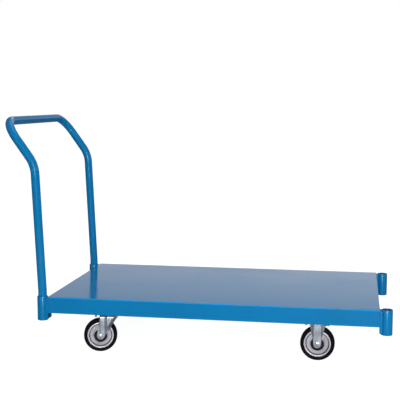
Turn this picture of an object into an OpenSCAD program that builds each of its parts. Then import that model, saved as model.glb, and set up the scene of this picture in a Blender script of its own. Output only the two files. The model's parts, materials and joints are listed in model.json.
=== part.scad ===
// Platform cart: a folded steel deck on four corner sockets, two swivel and two fixed casters,
// and a bent-tube push handle that plugs into the two rear sockets. Millimetres, +Z up.
// +X is the front, away from the handle. The origin is on the floor, under the middle of the
// cart's whole outline, so the deck's middle lies a little in front of it.

/* [Deck] */
// Length over the rear and front corner sockets
overall_l = 1300; // [1000:10:1500]
// Width over the side skirts
overall_w = 700; // [560:10:850]
// Depth of the skirts, from the deck's top face to the casters' plates
skirt_h = 60; // [50:1:80]
// Thickness of the folded deck sheet
sheet_t = 2.5; // [2:0.5:4]
// Outside radius of the fold between deck and skirt
fold_r = 5; // [4:0.5:8]

/* [Corner sockets] */
// Wall of a corner socket
socket_wall = 3.5; // [2.5:0.5:5]
// Length of a corner socket with its bottom ring
socket_l = 90; // [75:1:110]
// Thickness of the plate between the deck's end and a socket
corner_plate_t = 5; // [4:1:8]

/* [Push handle] */
// Outside diameter of the handle tube
tube_d = 32; // [30:1:34]
// Wall of the handle tube
tube_wall = 2; // [1.5:0.5:3]
// Height of the top of the crossbar above the floor
handle_h = 880; // [850:5:1000]
// Height at which the legs bend back
bend_h = 705; // [640:5:730]
// Distance from the socket axis back to the crossbar's axis
handle_reach = 135; // [115:1:160]
// Lean of the legs above the sockets, in degrees
leg_lean = 2.6; // [1:0.1:4]
// Centre-line radius of the bend in each leg
leg_bend_r = 120; // [90:5:140]
// Centre-line radius of the two corners at the crossbar
corner_bend_r = 78; // [60:2:90]

/* [Casters] */
// Wheel diameter
wheel_d = 125; // [120:1:130]
// Width of the tyre
tyre_w = 32; // [28:1:34]
// Height of a caster's plate above the top of its wheel
head_room = 30; // [29:1:34]
// Distance from the deck's rear end to the swivel casters' axis
rear_inset = 210; // [180:5:260]
// Distance from the deck's front end to the fixed casters' axle
front_inset = 218; // [180:2:260]
// Distance from the skirt's outside to the middle of a swivel caster
rear_side_inset = 85; // [75:5:150]
// Distance from the skirt's outside to the middle of a fixed caster
front_side_inset = 102; // [75:1:150]
// Distance the swivel wheel trails behind its kingpin
trail = 30; // [26:1:34]
// Angle the swivel casters are parked at, in degrees
park_angle = 15; // [0:1:20]

/* [Hidden] */
$fn = 64;
eps = 0.01;
cut = 1;             // how far a cutting shape reaches past the face that it cuts

// Clearances, each used where its two pieces meet
socket_fit = 0.5;    // handle leg in socket, radial
bolt_fit = 0.5;      // bolt in its hole, radial
axle_fit = 0.05;     // axle bolt in sleeve, kingpin in crown, radial
roller_fit = 0.05;   // rollers on the sleeve and in the hub, radial
face_gap = 0.3;      // between faces that turn past each other

// Colours
blue = [0.09, 0.45, 0.70];
zinc = [0.62, 0.64, 0.66];
bright = [0.82, 0.83, 0.85];
rim_grey = [0.68, 0.67, 0.72];
black = [0.06, 0.06, 0.07];

// Heights above the floor
caster_h = wheel_d + head_room;
deck_h = caster_h + skirt_h;

// Deck
bore_r = tube_d / 2 + socket_fit;
socket_d = 2 * (bore_r + socket_wall);
deck_l = overall_l - 2 * (socket_d + corner_plate_t);
skirt_z = caster_h;
under_z = deck_h - sheet_t;
inner_w = overall_w - 2 * sheet_t;
end_lip = 22;

// Sockets
socket_x = (overall_l - socket_d) / 2;
socket_y = (overall_w - socket_d) / 2;
ring_t = 3;
drain_r = 10;
plate_foot = 6;      // a corner plate starts this far above its socket's bottom
ring_z = deck_h - socket_l;
leg_z = ring_z + ring_t;
corner_plate_w = 46;
saddle = 3;
corner_plate_z = ring_z + plate_foot;

// Handle: the two legs meet the crossbar at corner vertices; bends are rounded about them
tube_r = tube_d / 2;
set_r = 100;
set_t = set_r * tan(leg_lean / 2);
set_rise = 20;       // the legs take their lean this far above the deck
set_z = deck_h + set_rise;
bar_z = handle_h - tube_r;
bar_x = -socket_x - handle_reach;
knee_x = -socket_x - (bend_h - set_z) * tan(leg_lean);
upper_l = norm([knee_x - bar_x, bar_z - bend_h]);
upper_lean = atan2(knee_x - bar_x, bar_z - bend_h);
knee_a = upper_lean - leg_lean;
knee_t = leg_bend_r * tan(knee_a / 2);
lower_l = (bend_h - set_z) / cos(leg_lean);
foot_l = set_z - set_t - leg_z;
shin_l = lower_l - set_t - knee_t;
neck_l = upper_l - knee_t - corner_bend_r;
bar_half = socket_y - corner_bend_r;
lap = 1;             // how far a straight length reaches into the bend beside it
bend_swell = 0.05;   // how much fatter a bend is than a straight length, radial

// Underframe: two deep cross channels carry the casters, two hat rails stiffen the deck
web_t = 3;
channel_w = 124;
rail_h = 30;
rail_w = 60;
rail_flange = 18;
rail_t = 2;
rail_y = 140;
rear_x = -deck_l / 2 + rear_inset;
front_x = deck_l / 2 - front_inset;
rear_y = overall_w / 2 - rear_side_inset;
front_y = overall_w / 2 - front_side_inset;

// Caster plate, its bolts and the hole pattern
plate_l = 105;
plate_w = 85;
plate_t = 4;
plate_r = 10;
hole_dx = 80;
hole_dy = 60;
bolt_r = 4;
bolt_len = 25;
head_h = 5.3;
hex_r = 7.5;
nut_h = 6.5;
washer_r = 8.5;
washer_t = 1.6;
plate_z = caster_h - plate_t;

// Fork and crown
axle_z = wheel_d / 2;
fork_t = 3;
tyre_clear = 6;
gap_half = tyre_w / 2 + tyre_clear;
raise = 2;           // a fork's middle stands this far out from its edges
face_out = gap_half + fork_t;
edge_out = face_out - raise;
edge_in = edge_out - fork_t;
lobe_r = 14;
crown_half = 33;
crown_t = 4;
crown_drop = 20;
crown_z = caster_h - crown_drop;
crown_top = crown_z + crown_t;
crown_round = 9;
rigid_round = 16;
shoulder_in = 1;     // least radius inside a fork's shoulder
crease_ahead = 20;
crease_x = crease_ahead - trail;
rigid_face = 31;

// Fork outlines seen from the side: distance from the kingpin or axle, height above the axle
crown_back = 6;      // depth of the swivel crown's sides at the back
crown_front = 3;     // and at the front
swivel_waist = [14, 41];
swivel_shin = [5, 26];
rigid_hip = [26.5, 60];
rigid_waist = [22, 42];
rigid_shin = [16.5, 26];

// Kingpin and ball races
ball_r = 2;
upper_pitch = 18;
lower_pitch = 13;
race_r = 23;
race_lip = 2;
kingpin_r = 6;
kingpin_head_r = 10;
kingpin_head_h = 3;
seat_depth = 0.8;
race_t = 2.5;
upper_ball_z = crown_top - seat_depth + ball_r;
lower_ball_z = crown_z + seat_depth - ball_r;
race_top = lower_ball_z - ball_r + seat_depth;
race_z = race_top - race_t;
upper_race_z = upper_ball_z + ball_r - seat_depth;
kingpin_nut_r = 9.5;
kingpin_nut_h = 5;
kingpin_nut_z = race_z - face_gap - kingpin_nut_h;
kingpin_tail = 0.5;

// Wheel, along its own axle
axle_r = 5;
axle_hex_r = 8.6;
axle_head_h = 6;
axle_nut_h = 8;
axle_tail = 2;
sleeve_r = 8;
roller_r = 3;
roller_n = 10;
roller_pitch = sleeve_r + roller_fit + roller_r;
cage_half_t = 1;
cage_slack = 0.8;    // a cage ring is this much narrower than its rollers on each side
hub_in = roller_pitch + roller_r + roller_fit;
hub_wall = 3;
guard_t = 2;
guard_r = 23;
hub_r = hub_in + hub_wall;
hub_half = edge_in - guard_t - 2 * face_gap;
roller_half = hub_half - 3;
tyre_depth = 15.5;
seat_r = wheel_d / 2 - tyre_depth;
seat_t = 2;
bead_depth = 12.5;
bead_r = wheel_d / 2 - bead_depth;
bead_t = 1.6;
bead_recess = 1.5;
rim_half = tyre_w / 2 - bead_recess;
disc_recess = 7;
disc_y = tyre_w / 2 - disc_recess;
disc_t = 2;
groove_w = 2.5;
disc_r = seat_r - seat_t - groove_w;
tread_round = 5;

// The whole outline reaches from the crossbar to the front sockets
back_end = bar_x - tube_r;
frame_x = -(back_end + overall_l / 2) / 2;

// ---------- helpers ----------

// Point where the line from p touches the circle (c, r); side is 1 or -1
function tangent(p, c, r, side) =
  let (v = p - c, a = atan2(v[1], v[0]) + side * acos(r / norm(v)))
  c + r * [cos(a), sin(a)];

// Rectangle centred on the origin with rounded corners
module round_rect(w, h, r) {
  square([w - 2 * r, h], center = true);
  square([w, h - 2 * r], center = true);
  for (x = [-1, 1], y = [-1, 1])
    translate([x * (w / 2 - r), y * (h / 2 - r)]) circle(r);
}

// Draws its 2D children upright in the XZ plane, h thick about y = 0
module slab_y(h) {
  rotate([90, 0, 0]) linear_extrude(h, center = true) children();
}

// Draws its 2D children upright in the YZ plane, from x0 to x1
module slab_x(x0, x1) {
  translate([x0, 0, 0]) rotate([90, 0, 90]) linear_extrude(x1 - x0) children();
}

// Turns a shape drawn about Z onto the wheel's axle, along Y
module on_axle() {
  translate([0, 0, axle_z]) rotate([90, 0, 0]) children();
}

module hexagon(r, h) {
  cylinder(r = r, h = h, $fn = 6);
}

module ring(r_out, r_in, h) {
  difference() {
    cylinder(r = r_out, h = h);
    translate([0, 0, -cut]) cylinder(r = r_in, h = h + 2 * cut);
  }
}

module ball_ring(pitch, n) {
  for (i = [0 : n - 1])
    rotate([0, 0, i * 360 / n]) translate([pitch, 0, 0]) sphere(ball_r, $fn = 24);
}

// Places a caster at the left (side = 1) or right (side = -1), rear or front
module at_rear(side) {
  translate([rear_x, side * rear_y, 0]) children();
}

module at_front(side) {
  translate([front_x, side * front_y, 0]) children();
}

// A swivel caster's turning parts, parked with its wheel turned a little outwards
module parked(side) {
  at_rear(side) rotate([0, 0, -side * park_angle]) mirror_out(side) children();
}

// Shapes are drawn with their outer face towards -Y, and mirrored for the left side
module mirror_out(side) {
  if (side < 0) children();
  else mirror([0, 1, 0]) children();
}

module at_rear_wheel(side) {
  parked(side) translate([-trail, 0, 0]) children();
}

module at_front_wheel(side) {
  at_front(side) mirror_out(side) children();
}

module plate_holes() {
  for (x = [-1, 1], y = [-1, 1])
    translate([x * hole_dx / 2, y * hole_dy / 2, 0]) children();
}

module all_caster_holes() {
  for (side = [-1, 1]) {
    at_rear(side) plate_holes() children();
    at_front(side) plate_holes() children();
  }
}

// ---------- deck and underframe ----------

module deck_section() {
  difference() {
    union() {
      translate([-overall_w / 2, skirt_z]) square([overall_w, deck_h - skirt_z - fold_r]);
      translate([-overall_w / 2 + fold_r, skirt_z])
        square([overall_w - 2 * fold_r, deck_h - skirt_z]);
      for (y = [-1, 1])
        translate([y * (overall_w / 2 - fold_r), deck_h - fold_r]) circle(fold_r);
    }
    inner_r = fold_r - sheet_t;
    translate([-inner_w / 2, skirt_z - cut])
      square([inner_w, under_z - skirt_z + cut - inner_r]);
    translate([-inner_w / 2 + inner_r, skirt_z])
      square([inner_w - 2 * inner_r, under_z - skirt_z]);
    for (y = [-1, 1])
      translate([y * (inner_w / 2 - inner_r), under_z - inner_r]) circle(inner_r);
  }
}

module deck_panel() {
  color(blue) slab_x(-deck_l / 2, deck_l / 2) deck_section();
}

// Angle that closes one end of the pan; dir is 1 at the front and -1 at the rear
module end_channel(dir) {
  inset = fold_r - sheet_t;
  color(blue) mirror([dir < 0 ? 1 : 0, 0, 0]) {
    translate([deck_l / 2 - sheet_t, -inner_w / 2, skirt_z])
      cube([sheet_t, inner_w, under_z - skirt_z - inset]);
    translate([deck_l / 2 - sheet_t, -inner_w / 2 + inset, skirt_z])
      cube([sheet_t, inner_w - 2 * inset, under_z - skirt_z]);
    translate([deck_l / 2 - end_lip, -inner_w / 2, skirt_z]) cube([end_lip, inner_w, sheet_t]);
  }
}

module crossmember_section() {
  h = under_z - skirt_z;
  translate([-channel_w / 2, skirt_z]) square([channel_w, web_t]);
  for (x = [-1, 1])
    translate([x * (channel_w - web_t) / 2 - web_t / 2, skirt_z]) square([web_t, h]);
}

module crossmember(x) {
  corner = fold_r - sheet_t;
  color(blue) difference() {
    translate([x, 0, 0]) slab_y(inner_w - 2 * corner) crossmember_section();
    all_caster_holes() {
      translate([0, 0, skirt_z - cut]) cylinder(r = bolt_r + bolt_fit, h = web_t + 2 * cut);
    }
  }
}

// Hat rail under the deck between the two crossmembers
module stiffener(side) {
  x0 = rear_x + channel_w / 2;
  x1 = front_x - channel_w / 2;
  color(blue) translate([0, side * rail_y, 0]) slab_x(x0, x1) {
    translate([-rail_w / 2, under_z - rail_h]) square([rail_w, rail_t]);
    for (y = [-1, 1]) {
      translate([y * (rail_w - rail_t) / 2 - rail_t / 2, under_z - rail_h])
        square([rail_t, rail_h]);
      translate([y * (rail_w + rail_flange - rail_t) / 2 - rail_flange / 2, under_z - rail_t])
        square([rail_flange, rail_t]);
    }
  }
}

// ---------- corner sockets ----------

module at_socket(dir, side) {
  translate([dir * socket_x, side * socket_y, 0]) children();
}

module socket(dir, side) {
  color(blue) at_socket(dir, side) translate([0, 0, leg_z])
    ring(socket_d / 2, bore_r, socket_l - ring_t);
}

// Ring welded under each socket: the handle's legs stand on it, and water drains through it
module socket_rings() {
  color(blue) for (dir = [-1, 1], side = [-1, 1])
    at_socket(dir, side) translate([0, 0, ring_z]) ring(socket_d / 2, drain_r, ring_t);
}

// Plate between the deck's end and the socket, hollowed to fit round the tube
module corner_plate(dir, side) {
  t = corner_plate_t + saddle;
  h = deck_h - fold_r - corner_plate_z;
  color(blue) difference() {
    translate([dir * (deck_l + t) / 2, side * (overall_w - corner_plate_w) / 2,
               corner_plate_z + h / 2])
      cube([t, corner_plate_w, h], center = true);
    at_socket(dir, side) cylinder(r = socket_d / 2, h = deck_h);
  }
}

// ---------- push handle ----------

// One bend of the tube, starting upwards and turning towards -X. Bends are a hair fatter than
// the straight lengths, which reach a little way into them.
module bend(r, a, tube) {
  translate([-r, 0, 0]) rotate([90, 0, 0])
    rotate_extrude(angle = a) translate([r, 0]) circle(tube + bend_swell);
}

module past_bend(r, a) {
  translate([-r, 0, 0]) rotate([0, -a, 0]) translate([r, 0, 0]) children();
}

// Straight length of tube from height z0 to z1
module straight(z0, z1, tube) {
  translate([0, 0, z0]) cylinder(r = tube, h = z1 - z0);
}

module past_straight(l) {
  translate([0, 0, l]) children();
}

// One leg, from start below its foot to the end of its corner bend
module leg_run(tube, start) {
  straight(-start, foot_l + lap, tube);
  past_straight(foot_l) {
    bend(set_r, leg_lean, tube);
    past_bend(set_r, leg_lean) {
      straight(-lap, shin_l + lap, tube);
      past_straight(shin_l) {
        bend(leg_bend_r, knee_a, tube);
        past_bend(leg_bend_r, knee_a) {
          straight(-lap, neck_l + lap, tube);
          past_straight(neck_l) rotate([0, 0, -90]) bend(corner_bend_r, 90, tube);
        }
      }
    }
  }
}

module handle_run(tube, start) {
  for (side = [-1, 1])
    mirror([0, side > 0 ? 1 : 0, 0])
      translate([-socket_x, -socket_y, leg_z]) leg_run(tube, start);
  translate([bar_x, 0, bar_z]) rotate([90, 0, 0])
    straight(-bar_half - lap, bar_half + lap, tube);
}

module push_handle() {
  color(blue) difference() {
    handle_run(tube_r, 0);
    handle_run(tube_r - tube_wall, lap);
  }
}

// ---------- caster fasteners ----------

module caster_bolts() {
  top = skirt_z + web_t + washer_t;
  color(bright) all_caster_holes() {
    translate([0, 0, top]) hexagon(hex_r, head_h);
    translate([0, 0, top - bolt_len]) cylinder(r = bolt_r, h = bolt_len + eps);
  }
}

module caster_washers() {
  color(bright) all_caster_holes() {
    translate([0, 0, skirt_z + web_t]) ring(washer_r, bolt_r + bolt_fit, washer_t);
  }
}

module caster_nuts() {
  color(bright) all_caster_holes() {
    translate([0, 0, plate_z - nut_h]) difference() {
      hexagon(hex_r, nut_h);
      translate([0, 0, -cut]) cylinder(r = bolt_r, h = nut_h + 2 * cut);
    }
  }
}

// ---------- swivel caster ----------

module plate_blank() {
  difference() {
    translate([0, 0, plate_z]) linear_extrude(plate_t) round_rect(plate_l, plate_w, plate_r);
    plate_holes() translate([0, 0, plate_z - cut])
      cylinder(r = bolt_r + bolt_fit, h = plate_t + 2 * cut);
  }
}

// Groove for a ring of balls, centred on height z
module ball_groove(pitch, z) {
  translate([0, 0, z]) rotate_extrude() translate([pitch, 0]) circle(ball_r + axle_fit, $fn = 32);
}

module top_plate(side) {
  color(zinc) at_rear(side) difference() {
    union() {
      plate_blank();
      translate([0, 0, upper_race_z]) cylinder(r = race_r, h = plate_z - upper_race_z + eps);
    }
    translate([0, 0, upper_race_z - cut]) cylinder(r = kingpin_r, h = caster_h);
    translate([0, 0, caster_h - kingpin_head_h])
      cylinder(r = kingpin_head_r, h = kingpin_head_h + cut);
    ball_groove(upper_pitch, upper_ball_z);
  }
}

module kingpins() {
  low = kingpin_nut_z - kingpin_tail;
  color(bright) for (side = [-1, 1]) at_rear(side) {
    translate([0, 0, low]) cylinder(r = kingpin_r, h = caster_h - low);
    translate([0, 0, caster_h - kingpin_head_h]) cylinder(r = kingpin_head_r, h = kingpin_head_h);
  }
}

module kingpin_nuts() {
  color(bright) for (side = [-1, 1]) at_rear(side)
    translate([0, 0, kingpin_nut_z]) difference() {
      hexagon(kingpin_nut_r, kingpin_nut_h);
      translate([0, 0, -cut]) cylinder(r = kingpin_r, h = kingpin_nut_h + 2 * cut);
    }
}

// Side view of the swivel fork, x measured from the kingpin
module swivel_outline() {
  lift = [0, axle_z];
  axle = lift - [trail, 0];
  back = [-crown_half, crown_z - crown_back];
  shin = swivel_shin + lift;
  polygon([
    [-crown_half, crown_top], [crown_half, crown_top], [crown_half, crown_z - crown_front],
    swivel_waist + lift, shin, tangent(shin, axle, lobe_r, -1), axle,
    tangent(back, axle, lobe_r, 1), back
  ]);
  translate(axle) circle(lobe_r);
}

// Inverted U seen from the front: legs at half-width w, rounded shoulders, up to z = top
module fork_arch(w, top, round_r) {
  difference() {
    arch_solid(w, top, round_r);
    arch_solid(w - fork_t, top - fork_t, max(round_r - fork_t, shoulder_in));
  }
}

module arch_solid(w, top, round_r) {
  translate([-w, 0]) square([2 * w, top - round_r]);
  translate([-w + round_r, 0]) square([2 * (w - round_r), top]);
  for (y = [-1, 1]) translate([y * (w - round_r), top - round_r]) circle(round_r);
}

module swivel_fork(side) {
  color(zinc) parked(side) difference() {
    union() {
      intersection() {
        slab_y(2 * (face_out + cut)) swivel_outline();
        union() {
          slab_x(-trail - lobe_r - cut, crease_x) fork_arch(face_out, crown_top, crown_round);
          slab_x(crease_x - fork_t, crown_half + cut)
            fork_arch(edge_out, crown_top, crown_round);
        }
      }
      translate([0, 0, crown_z]) cylinder(r = edge_out, h = crown_t - eps);
    }
    translate([0, 0, crown_z - cut])
      cylinder(r = kingpin_r + axle_fit, h = crown_t + 2 * cut);
    ball_groove(upper_pitch, upper_ball_z);
    ball_groove(lower_pitch, lower_ball_z);
    translate([-trail, 0, 0]) axle_hole();
  }
}

module axle_hole() {
  on_axle() cylinder(r = axle_r + axle_fit, h = 4 * face_out, center = true);
}

module lower_race(side) {
  color(zinc) parked(side) difference() {
    translate([0, 0, race_z]) cylinder(r = lower_pitch + ball_r + race_lip, h = race_t);
    translate([0, 0, race_z - cut])
      cylinder(r = kingpin_r + axle_fit, h = race_t + 2 * cut);
    ball_groove(lower_pitch, lower_ball_z);
  }
}

module balls(side) {
  color(bright) at_rear(side) {
    translate([0, 0, upper_ball_z]) ball_ring(upper_pitch, 18);
    translate([0, 0, lower_ball_z]) ball_ring(lower_pitch, 13);
  }
}

// ---------- fixed caster ----------

module rigid_outline() {
  axle = [0, axle_z];
  shin = rigid_shin + axle;
  half = [[rigid_hip[0], plate_z + eps], rigid_hip + axle, rigid_waist + axle, shin,
          tangent(shin, axle, lobe_r, -1)];
  polygon(concat(half, [for (i = [len(half) - 1 : -1 : 0]) [-half[i][0], half[i][1]]]));
  translate(axle) circle(lobe_r);
}

module rigid_fork(side) {
  color(zinc) at_front(side) {
    plate_blank();
    difference() {
      intersection() {
        slab_y(2 * (face_out + cut)) rigid_outline();
        union() {
          slab_x(-rigid_face / 2, rigid_face / 2)
            fork_arch(face_out, plate_z + eps, rigid_round);
          for (x = [-1, 1])
            slab_x(x > 0 ? rigid_face / 2 - fork_t : -plate_l / 2,
                   x > 0 ? plate_l / 2 : fork_t - rigid_face / 2)
              fork_arch(edge_out, plate_z + eps, rigid_round);
        }
      }
      axle_hole();
    }
  }
}

// ---------- wheels: each is drawn about the axle, with the outer side towards -Y ----------

module tyre() {
  color(black) on_axle() rotate_extrude($fn = 96) {
    translate([seat_r, bead_t - rim_half])
      square([bead_r - seat_r + eps, 2 * (rim_half - bead_t)]);
    translate([bead_r, -tyre_w / 2]) square([wheel_d / 2 - tread_round - bead_r, tyre_w]);
    translate([bead_r, tread_round - tyre_w / 2])
      square([wheel_d / 2 - bead_r, tyre_w - 2 * tread_round]);
    for (y = [-1, 1])
      translate([wheel_d / 2 - tread_round, y * (tyre_w / 2 - tread_round)]) circle(tread_round);
  }
}

// Pressed rim: two discs round the hub, a groove, a seat for the tyre and a bead on each side
module rim() {
  inner = seat_r - seat_t;
  color(rim_grey) on_axle() rotate_extrude($fn = 96) {
    translate([inner, -rim_half]) square([seat_t, 2 * rim_half]);
    for (y = [-1, 1]) mirror([0, y > 0 ? 0 : 1]) {
      translate([inner, rim_half - bead_t]) square([bead_r - inner, bead_t]);
      translate([hub_r, disc_y - disc_t]) square([disc_r - hub_r, disc_t]);
      translate([disc_r - disc_t, disc_y - 2 * disc_t]) square([disc_t, 2 * disc_t]);
      translate([disc_r - disc_t, disc_y - 2 * disc_t]) square([inner - disc_r + disc_t + eps, disc_t]);
    }
  }
}

module hub() {
  color(zinc) on_axle() translate([0, 0, -hub_half]) ring(hub_r, hub_in, 2 * hub_half);
}

// Roller bearing: a ring of rollers held at both ends by the rings of its cage
module bearing() {
  color(bright) on_axle() {
    for (i = [0 : roller_n - 1])
      rotate([0, 0, i * 360 / roller_n]) translate([roller_pitch, 0, -roller_half])
        cylinder(r = roller_r, h = 2 * roller_half, $fn = 32);
    for (y = [-1, 1]) translate([0, 0, y * roller_half - cage_half_t])
      ring(roller_pitch + roller_r - cage_slack, roller_pitch - roller_r + cage_slack,
           2 * cage_half_t);
  }
}

module axle_sleeve() {
  color(bright) on_axle() translate([0, 0, -gap_half])
    ring(sleeve_r, axle_r + axle_fit, 2 * gap_half);
}

// Dust discs between the hub's ends and the fork legs
module thread_guards() {
  color(black) for (y = [-1, 1])
    on_axle() translate([0, 0, y * (edge_in - face_gap - guard_t / 2) - guard_t / 2])
      ring(guard_r, sleeve_r + axle_fit, guard_t);
}

// The head is on the outer side
module axle_bolt() {
  color(bright) on_axle() {
    translate([0, 0, face_out]) hexagon(axle_hex_r, axle_head_h);
    translate([0, 0, -face_out - axle_nut_h - axle_tail])
      cylinder(r = axle_r, h = 2 * face_out + axle_nut_h + axle_tail + eps);
  }
}

module axle_nut() {
  color(bright) on_axle() translate([0, 0, -face_out - axle_nut_h]) difference() {
    hexagon(axle_hex_r, axle_nut_h);
    translate([0, 0, -cut]) cylinder(r = axle_r, h = axle_nut_h + 2 * cut);
  }
}

module front_pair() {
  for (side = [-1, 1]) at_front_wheel(side) children();
}

// ---------- nodes, moved to the whole cart's origin ----------

module in_frame() {
  translate([frame_x, 0, 0]) children();
}

in_frame() deck_panel();
in_frame() end_channel(-1);  // rear_end_channel
in_frame() end_channel(1);  // front_end_channel
in_frame() crossmember(rear_x);  // rear_crossmember
in_frame() crossmember(front_x);  // front_crossmember
in_frame() stiffener(1);  // left_stiffener
in_frame() stiffener(-1);  // right_stiffener
in_frame() socket(-1, 1);  // rear_left_socket
in_frame() socket(-1, -1);  // rear_right_socket
in_frame() socket(1, 1);  // front_left_socket
in_frame() socket(1, -1);  // front_right_socket
in_frame() corner_plate(-1, 1);  // rear_left_corner_plate
in_frame() corner_plate(-1, -1);  // rear_right_corner_plate
in_frame() corner_plate(1, 1);  // front_left_corner_plate
in_frame() corner_plate(1, -1);  // front_right_corner_plate
in_frame() socket_rings();
in_frame() caster_bolts();
in_frame() caster_washers();
in_frame() caster_nuts();
in_frame() top_plate(1);  // rear_left_top_plate
in_frame() top_plate(-1);  // rear_right_top_plate
in_frame() kingpins();
in_frame() kingpin_nuts();
in_frame() rigid_fork(1);  // front_left_fork
in_frame() rigid_fork(-1);  // front_right_fork
in_frame() front_pair() axle_bolt();  // front_axle_bolts
in_frame() front_pair() axle_nut();  // front_axle_nuts
in_frame() front_pair() axle_sleeve();  // front_axle_sleeves
in_frame() front_pair() thread_guards();  // front_thread_guards
in_frame() swivel_fork(1);  // rear_left_fork
in_frame() swivel_fork(-1);  // rear_right_fork
in_frame() lower_race(1);  // rear_left_lower_race
in_frame() lower_race(-1);  // rear_right_lower_race
in_frame() balls(1);  // rear_left_balls
in_frame() balls(-1);  // rear_right_balls
in_frame() at_rear_wheel(1) axle_bolt();  // rear_left_axle_bolt
in_frame() at_rear_wheel(-1) axle_bolt();  // rear_right_axle_bolt
in_frame() at_rear_wheel(1) axle_nut();  // rear_left_axle_nut
in_frame() at_rear_wheel(-1) axle_nut();  // rear_right_axle_nut
in_frame() at_rear_wheel(1) axle_sleeve();  // rear_left_axle_sleeve
in_frame() at_rear_wheel(-1) axle_sleeve();  // rear_right_axle_sleeve
in_frame() at_rear_wheel(1) thread_guards();  // rear_left_thread_guards
in_frame() at_rear_wheel(-1) thread_guards();  // rear_right_thread_guards
in_frame() at_rear_wheel(1) tyre();  // rear_left_tyre
in_frame() at_rear_wheel(-1) tyre();  // rear_right_tyre
in_frame() at_front_wheel(1) tyre();  // front_left_tyre
in_frame() at_front_wheel(-1) tyre();  // front_right_tyre
in_frame() at_rear_wheel(1) rim();  // rear_left_rim
in_frame() at_rear_wheel(-1) rim();  // rear_right_rim
in_frame() at_front_wheel(1) rim();  // front_left_rim
in_frame() at_front_wheel(-1) rim();  // front_right_rim
in_frame() at_rear_wheel(1) hub();  // rear_left_hub
in_frame() at_rear_wheel(-1) hub();  // rear_right_hub
in_frame() at_front_wheel(1) hub();  // front_left_hub
in_frame() at_front_wheel(-1) hub();  // front_right_hub
in_frame() at_rear_wheel(1) bearing();  // rear_left_bearing
in_frame() at_rear_wheel(-1) bearing();  // rear_right_bearing
in_frame() at_front_wheel(1) bearing();  // front_left_bearing
in_frame() at_front_wheel(-1) bearing();  // front_right_bearing
in_frame() push_handle();
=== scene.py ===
"""Finishes a platform cart round its engineering model.

The engineering model gives every place and size. This file replaces the visible pieces with
detailed meshes, gives each one a procedural finish, and sets up a pale studio with a camera.
Shapes are worked out in millimetres and written into the meshes in metres.
"""

import json
import math

import bmesh
import bpy
from mathutils import Matrix, Vector

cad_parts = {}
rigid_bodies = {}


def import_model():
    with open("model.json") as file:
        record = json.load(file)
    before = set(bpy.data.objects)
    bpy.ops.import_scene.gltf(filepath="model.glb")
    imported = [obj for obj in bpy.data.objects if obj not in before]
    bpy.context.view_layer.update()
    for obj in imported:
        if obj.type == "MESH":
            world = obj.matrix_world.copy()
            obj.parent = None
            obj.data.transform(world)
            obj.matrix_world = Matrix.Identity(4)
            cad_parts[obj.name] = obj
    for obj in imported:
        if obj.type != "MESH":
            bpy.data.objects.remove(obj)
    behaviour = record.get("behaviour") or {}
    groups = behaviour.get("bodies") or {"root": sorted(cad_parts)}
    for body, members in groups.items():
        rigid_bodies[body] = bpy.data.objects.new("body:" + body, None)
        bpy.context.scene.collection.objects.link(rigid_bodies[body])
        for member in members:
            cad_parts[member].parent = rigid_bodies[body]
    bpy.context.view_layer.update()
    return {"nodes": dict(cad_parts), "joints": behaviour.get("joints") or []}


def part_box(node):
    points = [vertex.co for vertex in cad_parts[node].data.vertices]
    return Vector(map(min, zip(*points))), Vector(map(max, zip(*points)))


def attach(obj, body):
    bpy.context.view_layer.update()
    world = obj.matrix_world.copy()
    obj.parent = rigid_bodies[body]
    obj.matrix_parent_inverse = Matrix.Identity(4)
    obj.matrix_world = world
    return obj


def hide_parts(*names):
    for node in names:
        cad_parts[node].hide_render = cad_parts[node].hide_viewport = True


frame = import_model()

bl_info = {
    "name": "Platform Cart",
    "version": (1, 0, 0),
    "blender": (4, 5, 0),
    "location": "View3D > Sidebar > Cart",
    "description": "Builds the finished look of a platform cart round its engineering model",
    "category": "Object",
}

MM = 0.001
SIDES = ("left", "right")
ENDS = ("rear", "front")
CORNERS = [(end, side) for end in ENDS for side in SIDES]
BOLT_PATTERN = (80.0, 60.0)
BOLT_FLATS, BOLT_R = 13.0, 4.0
PIN_FLATS, PIN_R = 16.4, 6.0
AXLE_FLATS, AXLE_R = 14.9, 5.0
PLATE_T = 4.0
LOBE_R = 14.0  # round lower end of a fork's leg
SOCKET_CHORD = 10.6  # from a socket's middle to each bead beside it
CHANNEL_WELDS = (70.0, 190.0, 300.0)  # middles of the beads, from the middle line on both sides
CHANNEL_WELD_HALF = 22
STITCHES, STITCH_START, STITCH_PITCH, STITCH_LENGTH = 4, 36, 11, 7
RAIL_WELDS, RAIL_WELD_HALF = 6, 16
FORK_STANDOFF = 9.0
HOLD = 0.3  # extra points this far past a bend keep the shading of flat faces flat


# ---------- places, read from the engineering model ----------


def box_mm(node):
    """Lowest and highest corner of a node, in millimetres."""
    low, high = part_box(node)
    return low / MM, high / MM


def middle_mm(node):
    """Middle of a node's box, in millimetres."""
    low, high = box_mm(node)
    return (low + high) / 2


def joint(name):
    """The joint of that name."""
    return next(j for j in frame["joints"] if j["name"] == name)


def joint_mm(name):
    """A joint's position, in millimetres."""
    return Vector(joint(name)["pos_m"]) / MM


DECK_LOW, DECK_HIGH = box_mm("deck_panel")
TYRE_LOW, TYRE_HIGH = box_mm("front_right_tyre")
WHEEL_R = (TYRE_HIGH.z - TYRE_LOW.z) / 2
TYRE_HALF = (TYRE_HIGH.y - TYRE_LOW.y) / 2
FORK_FACE = TYRE_HALF + FORK_STANDOFF


def mm(metres):
    """Metres to millimetres."""
    return metres / MM


# ---------- sizes and colours that a user would change ----------


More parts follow.
